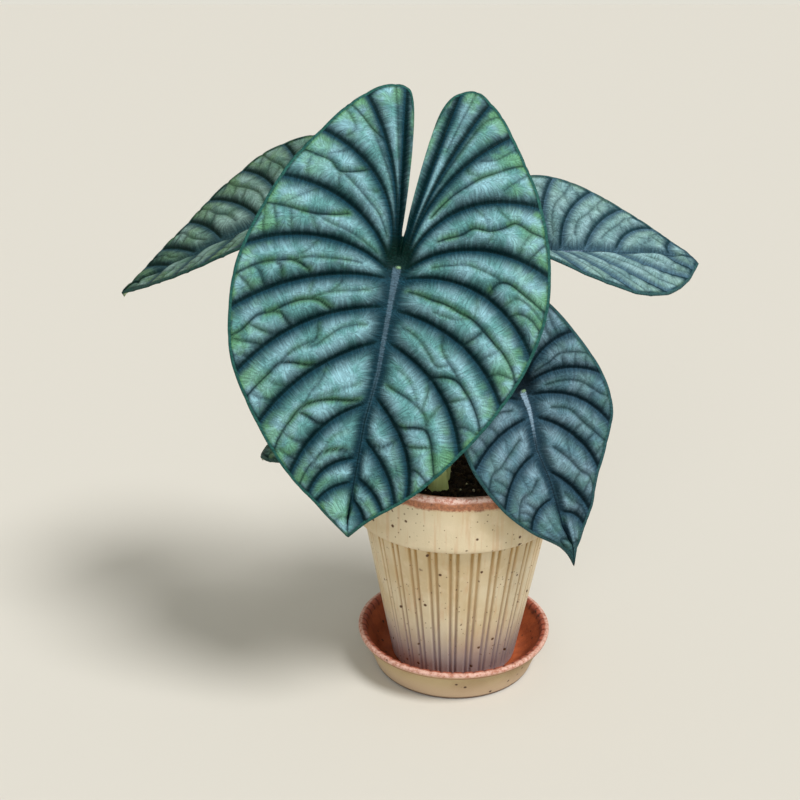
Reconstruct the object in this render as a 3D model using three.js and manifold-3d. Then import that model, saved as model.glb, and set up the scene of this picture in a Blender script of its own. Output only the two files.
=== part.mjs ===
// Potted silver nebula alocasia: five quilted leaves on arching stalks, standing in
// soil in a fluted clay pot on its saucer. Millimetres, +Z up. The origin is the
// middle of the saucer's underside, and the plant's front faces -Y.
import * as THREE from 'three';
import { mergeVertices } from 'three/addons/utils/BufferGeometryUtils.js';
import Module from 'manifold-3d';

const wasm = await Module();
wasm.setup();

// Clearance where one piece rests on or stands in another.
const SEAT_GAP = 0.3;

// Saucer: a flared dish with a notched rim.
const SAUCER_RIM_RADIUS = 60;
const SAUCER_BASE_RADIUS = 49;
const SAUCER_HEIGHT = 24;
const SAUCER_FLOOR = 6;
const SAUCER_WALL = 4.5;
const RIM_NOTCHES = 56;
const NOTCH_DEPTH = 1.1;

// Pot: a tapered, fluted body under a plain collar.
const POT_FOOT_RADIUS = 38.6;
const POT_SHOULDER_RADIUS = 56.4;
const POT_SHOULDER_HEIGHT = 103;
const POT_RIM_HEIGHT = 137;
const COLLAR_RADIUS = 62;
const POT_WALL = 5;
const POT_FLOOR = 6;
const FLUTES = 28;
const FLUTE_DEPTH = 1.3;
// One flute's section, as share of its period and share of its depth.
const FLUTE_SECTION = [[0, 0], [0.5, 0], [0.6, 1], [0.7, 0.15], [0.8, 0.15], [0.9, 1]];
const DRAIN_RADIUS = 6;
const COLLAR_SEGMENTS = 72;
const CAVITY_SEGMENTS = 48;
const DRAIN_SEGMENTS = 24;

// Soil: fills the pot to a little under the rim.
const SOIL_EDGE_HEIGHT = 125;
const SOIL_CROWN_HEIGHT = 128;
const SOIL_LUMP = 0.9;
const SOIL_RINGS = [1, 0.84, 0.66, 0.48, 0.3, 0.14];

// Leaves: blade thickness, quilting and the dip over the stalk.
const BLADE = 1.1;
const RIB_EXTRA = 0.5;
const QUILT_GAIN = 0.22;
const QUILT_WIDEST = 24;
const QUILT_ROUNDNESS = 0.75;
const SECOND_VEIN_CUT = 0.5;
const SECOND_VEIN_SPREAD = 0.12;
const QUILT_LEAN = 0.8;
const DIP_RADIUS = 14;
const SWAY_REACH = 26;

// Stalks: sides of their section, stations along them, height of their feet in the
// soil, radius at the tip as a share of the pad's, and how soon they narrow.
const STALK_SIDES = 10;
const STALK_STATIONS = 13;
const STALK_FOOT = 96;
const STALK_TIP = 0.85;
const STALK_TAPER = 1.4;

const COLOURS = {
  bladeFront: 0x5f9490,
  bladeDark: 0x4a7078,
  bladePale: 0x7fa39c,
  stalk: 0x9fae63,
  soil: 0x2a211c,
  glaze: 0xd3bd94,
  clay: 0xb5654a,
};

// Each leaf: `at` is the pad where the stalk joins the blade. `aim` is the heading
// and tilt of the upper face, then the turn of the apex within it, in degrees.
// `fold` (degrees) and `curl` (per mm) lift the left and right halves, `ease` fades
// the fold towards the apex, `arch` (per mm) droops the apex and the lobes, and
// `sway` shifts the midrib sideways at heights along it.
// A half's margin runs from the apex to the notch between the lobes, as distance
// from the midrib and position along it. Its veins are rows of start on the midrib
// (positive: round the pad), end as a place in the margin's list, and bow.
const LEAVES = {
  front: {
    at: [-34.7, -52, 266],
    aim: [2, 24, -11],
    fold: [8, 8],
    curl: [-0.0018, -0.0018],
    ease: 0,
    arch: [0.0026, 0.0035],
    pad: 3.2,
    dip: 6,
    sway: [[-147, 0], [-135, -2], [-84, -2.3], [-70, -1], [-58, 0]],
    colour: COLOURS.bladeFront,
    left: {
      margin: [
        [0, -147], [16, -133], [34, -119], [49, -103], [63, -84], [74.5, -64], [80, -40], [80.5, -14],
        [74, 12], [65, 37], [52, 60], [39, 80], [26, 93.5], [13, 98], [7.5, 90], [4, 68], [2.6, 44],
        [2, 26], [0, 14],
      ],
      veins: [
        [-116, 1.2, 0.24], [-103, 1.45, 0.36], [-74, 2.1, 0.24], [-42, 3.5, 0.19], [-24, 4.7, 0.22],
        [-9, 6.05, 0.18], [-4, 7.3, 0.26], [0, 8.8, 0.27], [1.3, 10.05, 0.34], [2.2, 11.5, 0.15],
        [3.6, 13.1, 0],
      ],
    },
    right: {
      margin: [
        [0, -147], [12, -134.5], [31, -116], [49, -92], [64, -67], [75, -40], [79.5, -12],
        [76, 15], [67, 42], [55.5, 63], [45.5, 80], [35.5, 93.5], [25, 101.5], [14, 97.5], [7.5, 83],
        [4.6, 58], [3.2, 38], [2, 24], [0, 14],
      ],
      veins: [
        [-125, 0.8, 0.2], [-113, 1.28, 0.22], [-92, 1.55, 0.18], [-70, 1.8, 0.26],
        [-41.5, 3.0, 0.26], [-25, 4.1, 0.27], [-8, 5.1, 0.36], [-2.5, 6.6, 0.3], [1.5, 7.9, 0.36],
        [2.2, 9.8, 0.2], [2.8, 11.2, 0.07], [3.8, 12.7, 0.01],
      ],
    },
  },
  small: {
    at: [32.7, -44, 195],
    aim: [6, 20, 16],
    fold: [14, 6],
    curl: [-0.001, -0.001],
    ease: 0.3,
    arch: [0.003, 0.003],
    pad: 2.4,
    dip: 4,
    sway: [[-106, 0], [-91, 1], [-80, -0.5], [-52, -0.8], [-34, -3], [-22, -1.4], [-12, 0]],
    colour: COLOURS.bladeDark,
    left: {
      margin: [
        [0, -106], [3, -97], [9, -88], [20, -76], [30, -62], [38, -45], [43, -26], [44, -6],
        [41, 14], [34, 33], [24, 48], [13, 53], [6, 42], [3, 25], [0, 9],
      ],
      veins: [
        [-63, 2.9, 0.4], [-36, 4.1, 0.28], [-16.5, 5.6, 0.2], [-6, 7.2, 0.2], [1, 9.2, 0.14],
        [2.4, 10.6, 0.04],
      ],
    },
    right: {
      margin: [
        [0, -106], [3, -97], [8, -89], [17.5, -76], [25, -60], [35, -43], [43, -27], [44, -8],
        [39, 12], [31, 33], [22, 48], [12, 52], [6, 41], [3, 25], [0, 9],
      ],
      veins: [
        [-71.5, 2.35, 0.4], [-47.5, 2.9, 0.16], [-17, 4.2, 0.3], [-5, 5.6, 0.32], [1.2, 7.1, 0.29],
        [2, 8.4, 0.3], [2.8, 10.4, 0.04],
      ],
    },
  },
  right: {
    at: [48.5, 15, 257.2],
    aim: [-14, 60, 94],
    fold: [44, 28],
    curl: [-0.003, -0.003],
    ease: 0.86,
    arch: [0.0025, 0.0025],
    pad: 2.4,
    dip: 4,
    sway: [[-87, 0], [-80, 3.2], [-64, 2.4], [-50, 1], [-38, 0]],
    colour: COLOURS.bladePale,
    left: {
      margin: [
        [0, -87], [8, -84.5], [21, -79.5], [36, -68], [47, -52], [51.5, -33], [49.5, -13],
        [43, 8], [35, 25], [25, 38], [14, 43], [6, 34], [2.5, 21], [0, 8],
      ],
      veins: [
        [-68, 1.1, 0.3], [-38.5, 1.8, 0.3], [-19, 3.0, 0.27], [-7.5, 4.15, 0.26], [1.2, 5.5, 0.21],
        [2.4, 8.4, 0.04],
      ],
    },
    right: {
      margin: [
        [0, -87], [3, -83], [10, -74], [22, -58], [33, -40], [42.5, -20], [47.5, 0],
        [45, 18], [39, 32], [28, 43], [16, 46], [7, 36], [3, 22], [0, 8],
      ],
      veins: [
        [-71, 2.2, 0.4], [-40, 2.8, 0.4], [-22.5, 3.85, 0.22], [-9.5, 4.75, 0.27], [-2, 5.85, 0.2],
        [1.6, 7.4, 0.14], [2.6, 9.4, 0.04],
      ],
    },
  },
  left: {
    at: [-95.8, 15, 279],
    aim: [-40, 58, -44],
    fold: [20, 26],
    curl: [-0.001, -0.001],
    ease: 0.2,
    arch: [0.001, 0.002],
    pad: 2.4,
    dip: 4,
    colour: COLOURS.bladeDark,
    left: {
      margin: [
        [0, -109.5], [3, -103], [8, -94], [15.5, -80], [24, -62], [34, -44], [42.5, -24], [49, -4],
        [49, 16], [43, 34], [31, 48], [17, 52], [8, 42], [3, 26], [0, 9],
      ],
      veins: [
        [-76, 2.2, 0.1], [-59, 3.05, 0.1], [-42, 4.15, 0.18], [-16.5, 5.0, 0.2], [-4, 6.2, 0.3],
        [1.2, 7.6, 0.3], [2.4, 9.6, 0.1],
      ],
    },
    right: {
      margin: [
        [0, -109.5], [6, -102], [14, -93], [25.5, -78], [36, -61], [43, -42], [47, -22], [48, -2],
        [46, 17], [40, 34], [29, 47], [16, 51], [8, 41], [3, 26], [0, 9],
      ],
      veins: [
        [-80, 2.4, 0.16], [-56, 3.6, 0.18], [-34, 4.7, 0.2], [-16, 5.8, 0.2], [-4, 7.1, 0.2],
        [1.2, 8.7, 0.16], [2.4, 10.6, 0.04],
      ],
    },
  },
  low: {
    at: [-58.5, -26, 172.5],
    aim: [-50, 66, -34],
    fold: [14, 14],
    curl: [-0.001, -0.001],
    ease: 0.3,
    arch: [0.003, 0.003],
    pad: 2,
    dip: 2.5,
    colour: COLOURS.bladeDark,
    left: {
      margin: [
        [0, -60], [6, -54], [15, -45], [22, -32], [26, -17], [26, -2], [22, 12], [14, 23], [7, 21],
        [3, 14], [0, 6],
      ],
      veins: [[-36, 2.2, 0.16], [-18, 3.3, 0.2], [-4, 4.6, 0.2], [1.5, 6.4, 0.12]],
    },
    right: {
      margin: [
        [0, -60], [9, -55], [19, -46], [26, -33], [28, -17], [27, -2], [22, 12], [14, 23], [7, 21],
        [3, 14], [0, 6],
      ],
      veins: [[-36, 2.2, 0.16], [-18, 3.3, 0.2], [-4, 4.6, 0.2], [1.5, 6.4, 0.12]],
    },
  },
};

// Each stalk: where it stands in the soil, its radius there, how far it rises
// straight, the direction in which it meets the blade and how long that pull is.
const STALKS = {
  front: { foot: [-10.5, -25], radius: 7, rise: 70, meets: [-0.1, -0.5, 0.86], reach: 55 },
  small: { foot: [-9.5, -11], radius: 5, rise: 70, meets: [0.84, -0.45, 0.3], reach: 35 },
  right: { foot: [-8, 8], radius: 5.4, rise: 90, meets: [0.62, 0.1, 0.78], reach: 50 },
  left: { foot: [-18.5, 1], radius: 5.4, rise: 90, meets: [-0.72, 0.1, 0.69], reach: 60 },
  low: { foot: [-21.5, -12], radius: 4.2, rise: 40, meets: [-0.7, -0.2, 0.68], reach: 24 },
};

// Rows of a half blade from the midrib (0) to the margin (1), and columns in a panel.
const BLADE_ROWS = {
  front: [0, 0.09, 0.2, 0.32, 0.44, 0.56, 0.68, 0.8, 0.91, 1],
  small: [0, 0.12, 0.28, 0.44, 0.6, 0.76, 0.9, 1],
  right: [0, 0.12, 0.28, 0.44, 0.6, 0.76, 0.9, 1],
  left: [0, 0.12, 0.28, 0.44, 0.6, 0.76, 0.9, 1],
  low: [0, 0.16, 0.38, 0.6, 0.82, 1],
};
const PANEL_COLUMNS = { front: 4, small: 4, right: 4, left: 4, low: 2 };

const group = new THREE.Group();

const smooth = (low, high, x) => THREE.MathUtils.smoothstep(x, low, high);

function addPiece(name, geometry, colour, roughness) {
  const material = new THREE.MeshStandardMaterial({ color: colour, roughness, metalness: 0 });
  const mesh = new THREE.Mesh(geometry, material);
  mesh.name = name;
  group.add(mesh);
}

// Booleans

function toSolid(geometry) {
  const bare = new THREE.BufferGeometry();
  bare.setAttribute('position', geometry.attributes.position.clone());
  if (geometry.index) bare.setIndex(geometry.index.clone());
  const merged = mergeVertices(bare, 1e-4);
  return new wasm.Manifold(
    new wasm.Mesh({
      numProp: 3,
      vertProperties: new Float32Array(merged.attributes.position.array),
      triVerts: new Uint32Array(merged.index.array),
    }),
  );
}

function toGeometry(solid) {
  const mesh = solid.getMesh();
  const geometry = new THREE.BufferGeometry();
  geometry.setAttribute('position', new THREE.BufferAttribute(new Float32Array(mesh.vertProperties), 3));
  geometry.setIndex(new THREE.BufferAttribute(new Uint32Array(mesh.triVerts), 1));
  return geometry;
}

function meshOf(points, triangles) {
  const geometry = new THREE.BufferGeometry();
  geometry.setAttribute('position', new THREE.Float32BufferAttribute(points.flatMap((p) => p.toArray()), 3));
  geometry.setIndex(triangles.flat());
  return geometry;
}

// A profile of radius and height turned about the pot's axis.
function turned(profile, segments) {
  const points = profile.map(([radius, height]) => new THREE.Vector2(radius, height));
  const geometry = new THREE.LatheGeometry(points, segments);
  geometry.rotateX(Math.PI / 2);
  return geometry;
}

// Leaf blade in its flat state

function half(leaf, side) {
  const { margin, veins } = leaf[side];
  const length = -margin[0][1];
  const quarterPad = (leaf.pad * Math.PI) / 2;
  return {
    sign: side === 'left' ? -1 : 1,
    length,
    pad: leaf.pad,
    edge: new THREE.SplineCurve(margin.map(([u, v]) => new THREE.Vector2(u, v))),
    last: margin.length - 1,
    veins: [[-length, 0, 0], ...veins, [quarterPad, margin.length - 1, 0]],
  };
}

// The start of a vein: down the midrib's edge, or round the pad over the stalk.
function veinStart(blade, along) {
  if (along > 0) {
    const angle = along / blade.pad;
    return new THREE.Vector2(blade.pad * Math.cos(angle), blade.pad * Math.sin(angle));
  }
  return new THREE.Vector2(blade.pad * (1 + along / blade.length), along);
}

// A point `out` of the way along vein `place`; between whole places lie the panels.
function onVein(blade, place, out) {
  const k = Math.min(Math.floor(place), blade.veins.length - 2);
  const [along, end, bow] = blade.veins[k].map((value, i) =>
    THREE.MathUtils.lerp(value, blade.veins[k + 1][i], place - k),
  );
  const start = veinStart(blade, along);
  const finish = blade.edge.getPoint(end / blade.last);
  const chord = finish.clone().sub(start);
  const middle = start.clone().addScaledVector(chord, 0.5);
  middle.x -= chord.y * bow;
  middle.y += chord.x * bow;
  return new THREE.QuadraticBezierCurve(start, middle, finish).getPoint(out);
}

// Height of the quilting: each panel domes up between two veins, and its outer part
// is parted again by a second, shallower vein.
function quilt(blade, place, out) {
  const k = Math.min(Math.floor(place), blade.veins.length - 2);
  const part = place - k;
  const width = Math.min(onVein(blade, k, out).distanceTo(onVein(blade, k + 1, out)), QUILT_WIDEST);
  const crest = Math.sin(Math.PI * part ** QUILT_LEAN) ** QUILT_ROUNDNESS;
  const second = Math.exp(-(((part - 0.5) / SECOND_VEIN_SPREAD) ** 2)) * smooth(0.35, 0.75, out);
  const ends = smooth(0, 0.16, out) * (1 - 0.65 * smooth(0.9, 1, out));
  return QUILT_GAIN * width * (crest || 0) * (1 - SECOND_VEIN_CUT * second) * ends;
}

// Leaf blade in space

function leafAxes(leaf) {
  const [heading, tilt, turn] = leaf.aim.map(THREE.MathUtils.degToRad);
  const face = new THREE.Vector3(
    Math.sin(heading) * Math.cos(tilt),
    -Math.cos(heading) * Math.cos(tilt),
    Math.sin(tilt),
  );
  const fall = new THREE.Vector3(
    Math.sin(heading) * Math.sin(tilt),
    -Math.cos(heading) * Math.sin(tilt),
    -Math.cos(tilt),
  );
  const level = new THREE.Vector3().crossVectors(face, fall);
  const apex = fall.multiplyScalar(Math.cos(turn)).addScaledVector(level, Math.sin(turn));
  const across = new THREE.Vector3().crossVectors(face, apex);
  return { face, apex, across };
}

// Sideways shift of the midrib at a height along it, and of what lies near it.
function swayAt(leaf, u, v) {
  const rows = leaf.sway || [];
  const k = rows.findIndex(([height]) => height > v);
  if (k < 1) return 0;
  const [[low, before], [high, after]] = [rows[k - 1], rows[k]];
  return THREE.MathUtils.mapLinear(v, low, high, before, after) * Math.exp(-((u / SWAY_REACH) ** 2));
}

// Folds, curls and arches a point of the flat blade, then sets it in place.
function setPoint(leaf, axes, length, u, v, height) {
  const side = u < 0 ? 0 : 1;
  const sign = u < 0 ? -1 : 1;
  const fade = 1 - leaf.ease * THREE.MathUtils.clamp(-v / length, -0.5, 1);
  const fold = THREE.MathUtils.degToRad(leaf.fold[side]) * fade;
  const curl = leaf.curl[side];
  const angle = fold + curl * Math.abs(u);
  const lift = height - leaf.dip * Math.exp(-(u * u + v * v) / DIP_RADIUS ** 2);
  const x = sign * ((Math.sin(angle) - Math.sin(fold)) / curl - lift * Math.sin(angle));
  const z = (Math.cos(fold) - Math.cos(angle)) / curl + lift * Math.cos(angle);
  const arch = leaf.arch[v < 0 ? 0 : 1];
  const radius = 1 / arch + z;
  const y = radius * Math.sin(v * arch);
  return new THREE.Vector3(...leaf.at)
    .addScaledVector(axes.across, x + swayAt(leaf, u, v))
    .addScaledVector(axes.apex, -y)
    .addScaledVector(axes.face, radius * Math.cos(v * arch) - 1 / arch);
}

// The blade's middle surface: both halves and the midrib band between them.
function bladeSheet(leaf, rows, columns) {
  const axes = leafAxes(leaf);
  const halves = ['left', 'right'].map((side) => half(leaf, side));
  const { length } = halves[0];
  const points = [];
  const ribs = [];
  const triangles = [];
  const flat = [];

  function addPoint(u, v, height, rib) {
    points.push(setPoint(leaf, axes, length, u, v, height));
    ribs.push(rib);
    flat.push(v);
    return points.length - 1;
  }
  function addTriangle(sign, a, b, c) {
    if (a === b || b === c || a === c) return;
    triangles.push(sign > 0 ? [a, b, c] : [a, c, b]);
  }

  const apex = addPoint(0, -length, 0, 0);
  const last = halves[0].veins.length - 1;
  const seam = rows.map((out) => addPoint(0, onVein(halves[0], last, out).y, 0, 0));
  const edges = halves.map((blade) => {
    const steps = (blade.veins.length - 1) * columns;
    const grid = [rows.map(() => apex)];
    for (let i = 1; i < steps; i += 1) {
      const place = i / columns;
      const onRib = i % columns === 0;
      grid.push(
        rows.map((out) => {
          const point = onVein(blade, place, out);
          const rib = onRib ? RIB_EXTRA * (1 - out) : 0;
          return addPoint(blade.sign * point.x, point.y, quilt(blade, place, out), rib);
        }),
      );
    }
    grid.push(seam);
    for (let i = 0; i < steps; i += 1) {
      for (let j = 0; j < rows.length - 1; j += 1) {
        addTriangle(blade.sign, grid[i][j], grid[i][j + 1], grid[i + 1][j + 1]);
        addTriangle(blade.sign, grid[i][j], grid[i + 1][j + 1], grid[i + 1][j]);
      }
    }
    return grid.map((column) => column[0]);
  });
  closeMidrib(edges, flat, addTriangle);
  return { points, ribs, triangles, axes };
}

// Fills the band between the two halves, always stepping on the side that lags.
function closeMidrib([left, right], along, addTriangle) {
  let i = 0;
  let j = 0;
  while (i < left.length - 1 || j < right.length - 1) {
    const leftNext = i < left.length - 1 ? along[left[i + 1]] : Infinity;
    const rightNext = j < right.length - 1 ? along[right[j + 1]] : Infinity;
    if (leftNext < rightNext) {
      addTriangle(1, left[i], right[j], left[i + 1]);
      i += 1;
    } else {
      addTriangle(1, left[i], right[j], right[j + 1]);
      j += 1;
    }
  }
}

// Gives the sheet its thickness: the same triangles above and below, and a rim.
function bladeGeometry(leaf, rows, columns) {
  const { points, ribs, triangles } = bladeSheet(leaf, rows, columns);
  const normals = points.map(() => new THREE.Vector3());
  const open = new Map();
  triangles.forEach(([a, b, c]) => {
    const ab = points[b].clone().sub(points[a]);
    const normal = ab.cross(points[c].clone().sub(points[a]));
    [a, b, c].forEach((corner) => normals[corner].add(normal));
    [[a, b], [b, c], [c, a]].forEach(([from, to]) => {
      if (!open.delete(`${to} ${from}`)) open.set(`${from} ${to}`, [from, to]);
    });
  });
  normals.forEach((normal) => normal.normalize());
  const count = points.length;
  const above = points.map((p, i) => p.clone().addScaledVector(normals[i], BLADE / 2));
  const below = points.map((p, i) => p.clone().addScaledVector(normals[i], -BLADE / 2 - ribs[i]));
  const faces = [...triangles];
  triangles.forEach(([a, b, c]) => faces.push([c + count, b + count, a + count]));
  open.forEach(([from, to]) => {
    faces.push([to, from, from + count]);
    faces.push([to, from + count, to + count]);
  });
  return meshOf([...above, ...below], faces);
}

// Stalks

// A tapering tube along a curve. `grow` widens it and lengthens it, for its hole.
function tube(curve, radiusAt, finish, grow) {
  const frames = curve.computeFrenetFrames(STALK_STATIONS, false);
  const points = [];
  const triangles = [];
  for (let i = 0; i <= STALK_STATIONS; i += 1) {
    const t = i / STALK_STATIONS;
    const centre = curve.getPointAt(t);
    if (i === 0) centre.addScaledVector(frames.tangents[0], -grow);
    const radius = radiusAt(t) + grow;
    for (let k = 0; k < STALK_SIDES; k += 1) {
      const angle = (2 * Math.PI * k) / STALK_SIDES;
      const point = centre
        .clone()
        .addScaledVector(frames.normals[i], radius * Math.cos(angle))
        .addScaledVector(frames.binormals[i], radius * Math.sin(angle));
      points.push(i === STALK_STATIONS ? finish(point, frames.tangents[i]) : point);
    }
  }
  for (let i = 0; i < STALK_STATIONS; i += 1) {
    for (let k = 0; k < STALK_SIDES; k += 1) {
      const a = i * STALK_SIDES + k;
      const b = i * STALK_SIDES + ((k + 1) % STALK_SIDES);
      triangles.push([a, b, b + STALK_SIDES], [a, b + STALK_SIDES, a + STALK_SIDES]);
    }
  }
  const top = STALK_STATIONS * STALK_SIDES;
  for (let k = 1; k < STALK_SIDES - 1; k += 1) {
    triangles.push([0, k + 1, k], [top, top + k, top + k + 1]);
  }
  return meshOf(points, triangles);
}

// Height of the blade's middle surface over the stalk: sunk by the dip, and lifted
// where the two folded halves meet across the pad.
function padHeight(leaf) {
  const [left, right] = leaf.fold.map((fold) => leaf.pad * Math.sin(THREE.MathUtils.degToRad(fold)));
  return (left + right) / 2 - leaf.dip * Math.exp(-((leaf.pad / DIP_RADIUS) ** 2));
}

function stalkGeometry(name, grow) {
  const leaf = LEAVES[name];
  const stalk = STALKS[name];
  const { face } = leafAxes(leaf);
  const reach = padHeight(leaf) - BLADE / 2 - RIB_EXTRA - SEAT_GAP;
  const seat = new THREE.Vector3(...leaf.at).addScaledVector(face, reach);
  const foot = new THREE.Vector3(...stalk.foot, STALK_FOOT);
  const meets = new THREE.Vector3(...stalk.meets).normalize();
  const curve = new THREE.CubicBezierCurve3(
    foot,
    foot.clone().setZ(STALK_FOOT + stalk.rise),
    seat.clone().addScaledVector(meets, -stalk.reach),
    seat,
  );
  const tip = leaf.pad * STALK_TIP;
  const radiusAt = (t) => tip + (stalk.radius - tip) * (1 - t) ** STALK_TAPER;
  // The last ring is slid along the stalk until it lies parallel to the blade.
  const finish = (point, tangent) => {
    const slide = seat.clone().sub(point).dot(face) / tangent.dot(face);
    return point.addScaledVector(tangent, slide);
  };
  return tube(curve, radiusAt, finish, grow);
}

// Soil

function cavityRadius(height) {
  const taper = (POT_SHOULDER_RADIUS - POT_FOOT_RADIUS) / (POT_SHOULDER_HEIGHT - SAUCER_FLOOR);
  return POT_FOOT_RADIUS + taper * (height - SAUCER_FLOOR) - POT_WALL;
}

function soilGeometry() {
  const floor = SAUCER_FLOOR + SEAT_GAP + POT_FLOOR + SEAT_GAP;
  const edge = cavityRadius(SOIL_EDGE_HEIGHT) - SEAT_GAP;
  const top = SOIL_RINGS.map((share) => [
    edge * share,
    SOIL_CROWN_HEIGHT - (SOIL_CROWN_HEIGHT - SOIL_EDGE_HEIGHT) * share ** 2,
  ]);
  const profile = [[0, floor], [cavityRadius(floor) - SEAT_GAP, floor], ...top, [0, SOIL_CROWN_HEIGHT]];
  const geometry = turned(profile, CAVITY_SEGMENTS);
  const position = geometry.attributes.position;
  for (let i = 0; i < position.count; i += 1) {
    const x = position.getX(i);
    const y = position.getY(i);
    const z = position.getZ(i);
    if (z > SOIL_EDGE_HEIGHT + 0.1) {
      const lump = Math.sin(x * 0.42 + 1) * Math.cos(y * 0.37) + 0.6 * Math.sin((x - y) * 0.71);
      position.setZ(i, z + SOIL_LUMP * lump);
    }
  }
  const holes = Object.keys(STALKS).map((name) => toSolid(stalkGeometry(name, SEAT_GAP)));
  return toGeometry(holes.reduce((soil, hole) => soil.subtract(hole), toSolid(geometry)));
}

// Pot

// The fluted body: wide flats parted by a narrow ridge with a groove on each side.
function flutedBody() {
  const period = (2 * Math.PI) / FLUTES;
  const rings = [
    [POT_FOOT_RADIUS, SAUCER_FLOOR + SEAT_GAP],
    [POT_SHOULDER_RADIUS, POT_SHOULDER_HEIGHT + 1],
  ];
  const points = [];
  rings.forEach(([radius, height]) => {
    for (let i = 0; i < FLUTES; i += 1) {
      FLUTE_SECTION.forEach(([share, depth]) => {
        const angle = (i + share) * period;
        const reach = radius - depth * FLUTE_DEPTH;
        points.push(new THREE.Vector3(reach * Math.cos(angle), reach * Math.sin(angle), height));
      });
    }
  });
  const count = FLUTES * FLUTE_SECTION.length;
  const bottom = points.length;
  points.push(new THREE.Vector3(0, 0, rings[0][1]), new THREE.Vector3(0, 0, rings[1][1]));
  const triangles = [];
  for (let a = 0; a < count; a += 1) {
    const b = (a + 1) % count;
    triangles.push([a, b, b + count], [a, b + count, a + count]);
    triangles.push([bottom, b, a], [bottom + 1, a + count, b + count]);
  }
  return meshOf(points, triangles);
}

function potGeometry() {
  const foot = SAUCER_FLOOR + SEAT_GAP;
  const floor = foot + POT_FLOOR;
  const inside = cavityRadius(POT_SHOULDER_HEIGHT) - 1;
  const collar = [
    [inside, POT_SHOULDER_HEIGHT], [COLLAR_RADIUS - 1.5, POT_SHOULDER_HEIGHT],
    [COLLAR_RADIUS, POT_SHOULDER_HEIGHT + 1.8], [COLLAR_RADIUS + 0.3, POT_RIM_HEIGHT - 6],
    [COLLAR_RADIUS - 0.2, POT_RIM_HEIGHT - 1.5], [COLLAR_RADIUS - 1.5, POT_RIM_HEIGHT],
    [inside, POT_RIM_HEIGHT], [inside, POT_SHOULDER_HEIGHT],
  ];
  const above = POT_RIM_HEIGHT + 5;
  const cavity = [[0, floor], [cavityRadius(floor), floor], [cavityRadius(above), above], [0, above]];
  const drain = [[0, foot - 5], [DRAIN_RADIUS, foot - 5], [DRAIN_RADIUS, floor + 5], [0, floor + 5]];
  return toGeometry(
    toSolid(flutedBody())
      .add(toSolid(turned(collar, COLLAR_SEGMENTS)))
      .subtract(toSolid(turned(cavity, CAVITY_SEGMENTS)))
      .subtract(toSolid(turned(drain, DRAIN_SEGMENTS))),
  );
}

// Saucer

function saucerGeometry() {
  const inner = SAUCER_RIM_RADIUS - SAUCER_WALL;
  const profile = [
    [0, 0], [SAUCER_BASE_RADIUS, 0], [SAUCER_BASE_RADIUS + 1.2, 1.5],
    [SAUCER_RIM_RADIUS - 4, SAUCER_HEIGHT - 6], [SAUCER_RIM_RADIUS - 0.6, SAUCER_HEIGHT - 3.5],
    [SAUCER_RIM_RADIUS, SAUCER_HEIGHT - 1.6], [SAUCER_RIM_RADIUS - 1.4, SAUCER_HEIGHT],
    [inner + 0.6, SAUCER_HEIGHT - 0.6], [inner - 1.8, SAUCER_HEIGHT - 5],
    [SAUCER_BASE_RADIUS - 4, SAUCER_FLOOR + 1], [SAUCER_BASE_RADIUS - 6, SAUCER_FLOOR], [0, SAUCER_FLOOR],
  ];
  const geometry = turned(profile, RIM_NOTCHES * 2);
  const position = geometry.attributes.position;
  const step = Math.PI / RIM_NOTCHES;
  for (let i = 0; i < position.count; i += 1) {
    const x = position.getX(i);
    const y = position.getY(i);
    const z = position.getZ(i);
    const column = Math.round(Math.atan2(y, x) / step);
    if (z > SAUCER_HEIGHT - 1 && column % 2 === 0) {
      position.setZ(i, z - NOTCH_DEPTH);
    }
  }
  return toGeometry(toSolid(geometry));
}

addPiece('saucer', saucerGeometry(), COLOURS.clay, 0.7);
addPiece('pot', potGeometry(), COLOURS.glaze, 0.6);
addPiece('soil', soilGeometry(), COLOURS.soil, 1);
Object.keys(LEAVES).forEach((name) => {
  const blade = bladeGeometry(LEAVES[name], BLADE_ROWS[name], PANEL_COLUMNS[name]);
  addPiece(`leaf_${name}`, blade, LEAVES[name].colour, 0.5);
  addPiece(`stalk_${name}`, toGeometry(toSolid(stalkGeometry(name, 0))), COLOURS.stalk, 0.5);
});

export default group;
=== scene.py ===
import math
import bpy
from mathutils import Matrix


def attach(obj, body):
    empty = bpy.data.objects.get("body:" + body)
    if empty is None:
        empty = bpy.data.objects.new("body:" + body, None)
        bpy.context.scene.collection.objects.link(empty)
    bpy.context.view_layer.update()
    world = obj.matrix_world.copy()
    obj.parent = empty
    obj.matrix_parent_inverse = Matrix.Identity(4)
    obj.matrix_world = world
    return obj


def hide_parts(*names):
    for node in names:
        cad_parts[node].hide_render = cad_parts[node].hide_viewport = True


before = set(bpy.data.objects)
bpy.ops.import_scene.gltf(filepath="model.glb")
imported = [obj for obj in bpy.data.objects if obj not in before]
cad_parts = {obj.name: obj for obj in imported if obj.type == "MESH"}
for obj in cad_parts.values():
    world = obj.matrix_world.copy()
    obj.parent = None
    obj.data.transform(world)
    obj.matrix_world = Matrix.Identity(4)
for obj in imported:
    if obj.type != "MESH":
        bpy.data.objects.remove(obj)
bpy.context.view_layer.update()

from types import SimpleNamespace

import bmesh
import bpy
import numpy as np
from mathutils import Vector

# Potted silver nebula alocasia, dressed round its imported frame. The tables are in
# millimetres and degrees, and MM turns millimetres into the frame's metres.
MM = 0.001

SIDES = ("left", "right")

# Camera: place, pitch below level, and lens on a 36 mm sensor.
CAMERA_AT = (-33.7, -600, 390)
CAMERA_PITCH = 19.96
CAMERA_LENS = 49.1

# Light of the room in the distance and from above, how high the bright band reaches
# as a share of the way up, and half the floor's side.
ROOM_AT_HORIZON = 0.815
ROOM_OVERHEAD = 0.42
ROOM_BAND = 0.3
FLOOR_REACH = 600

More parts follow.
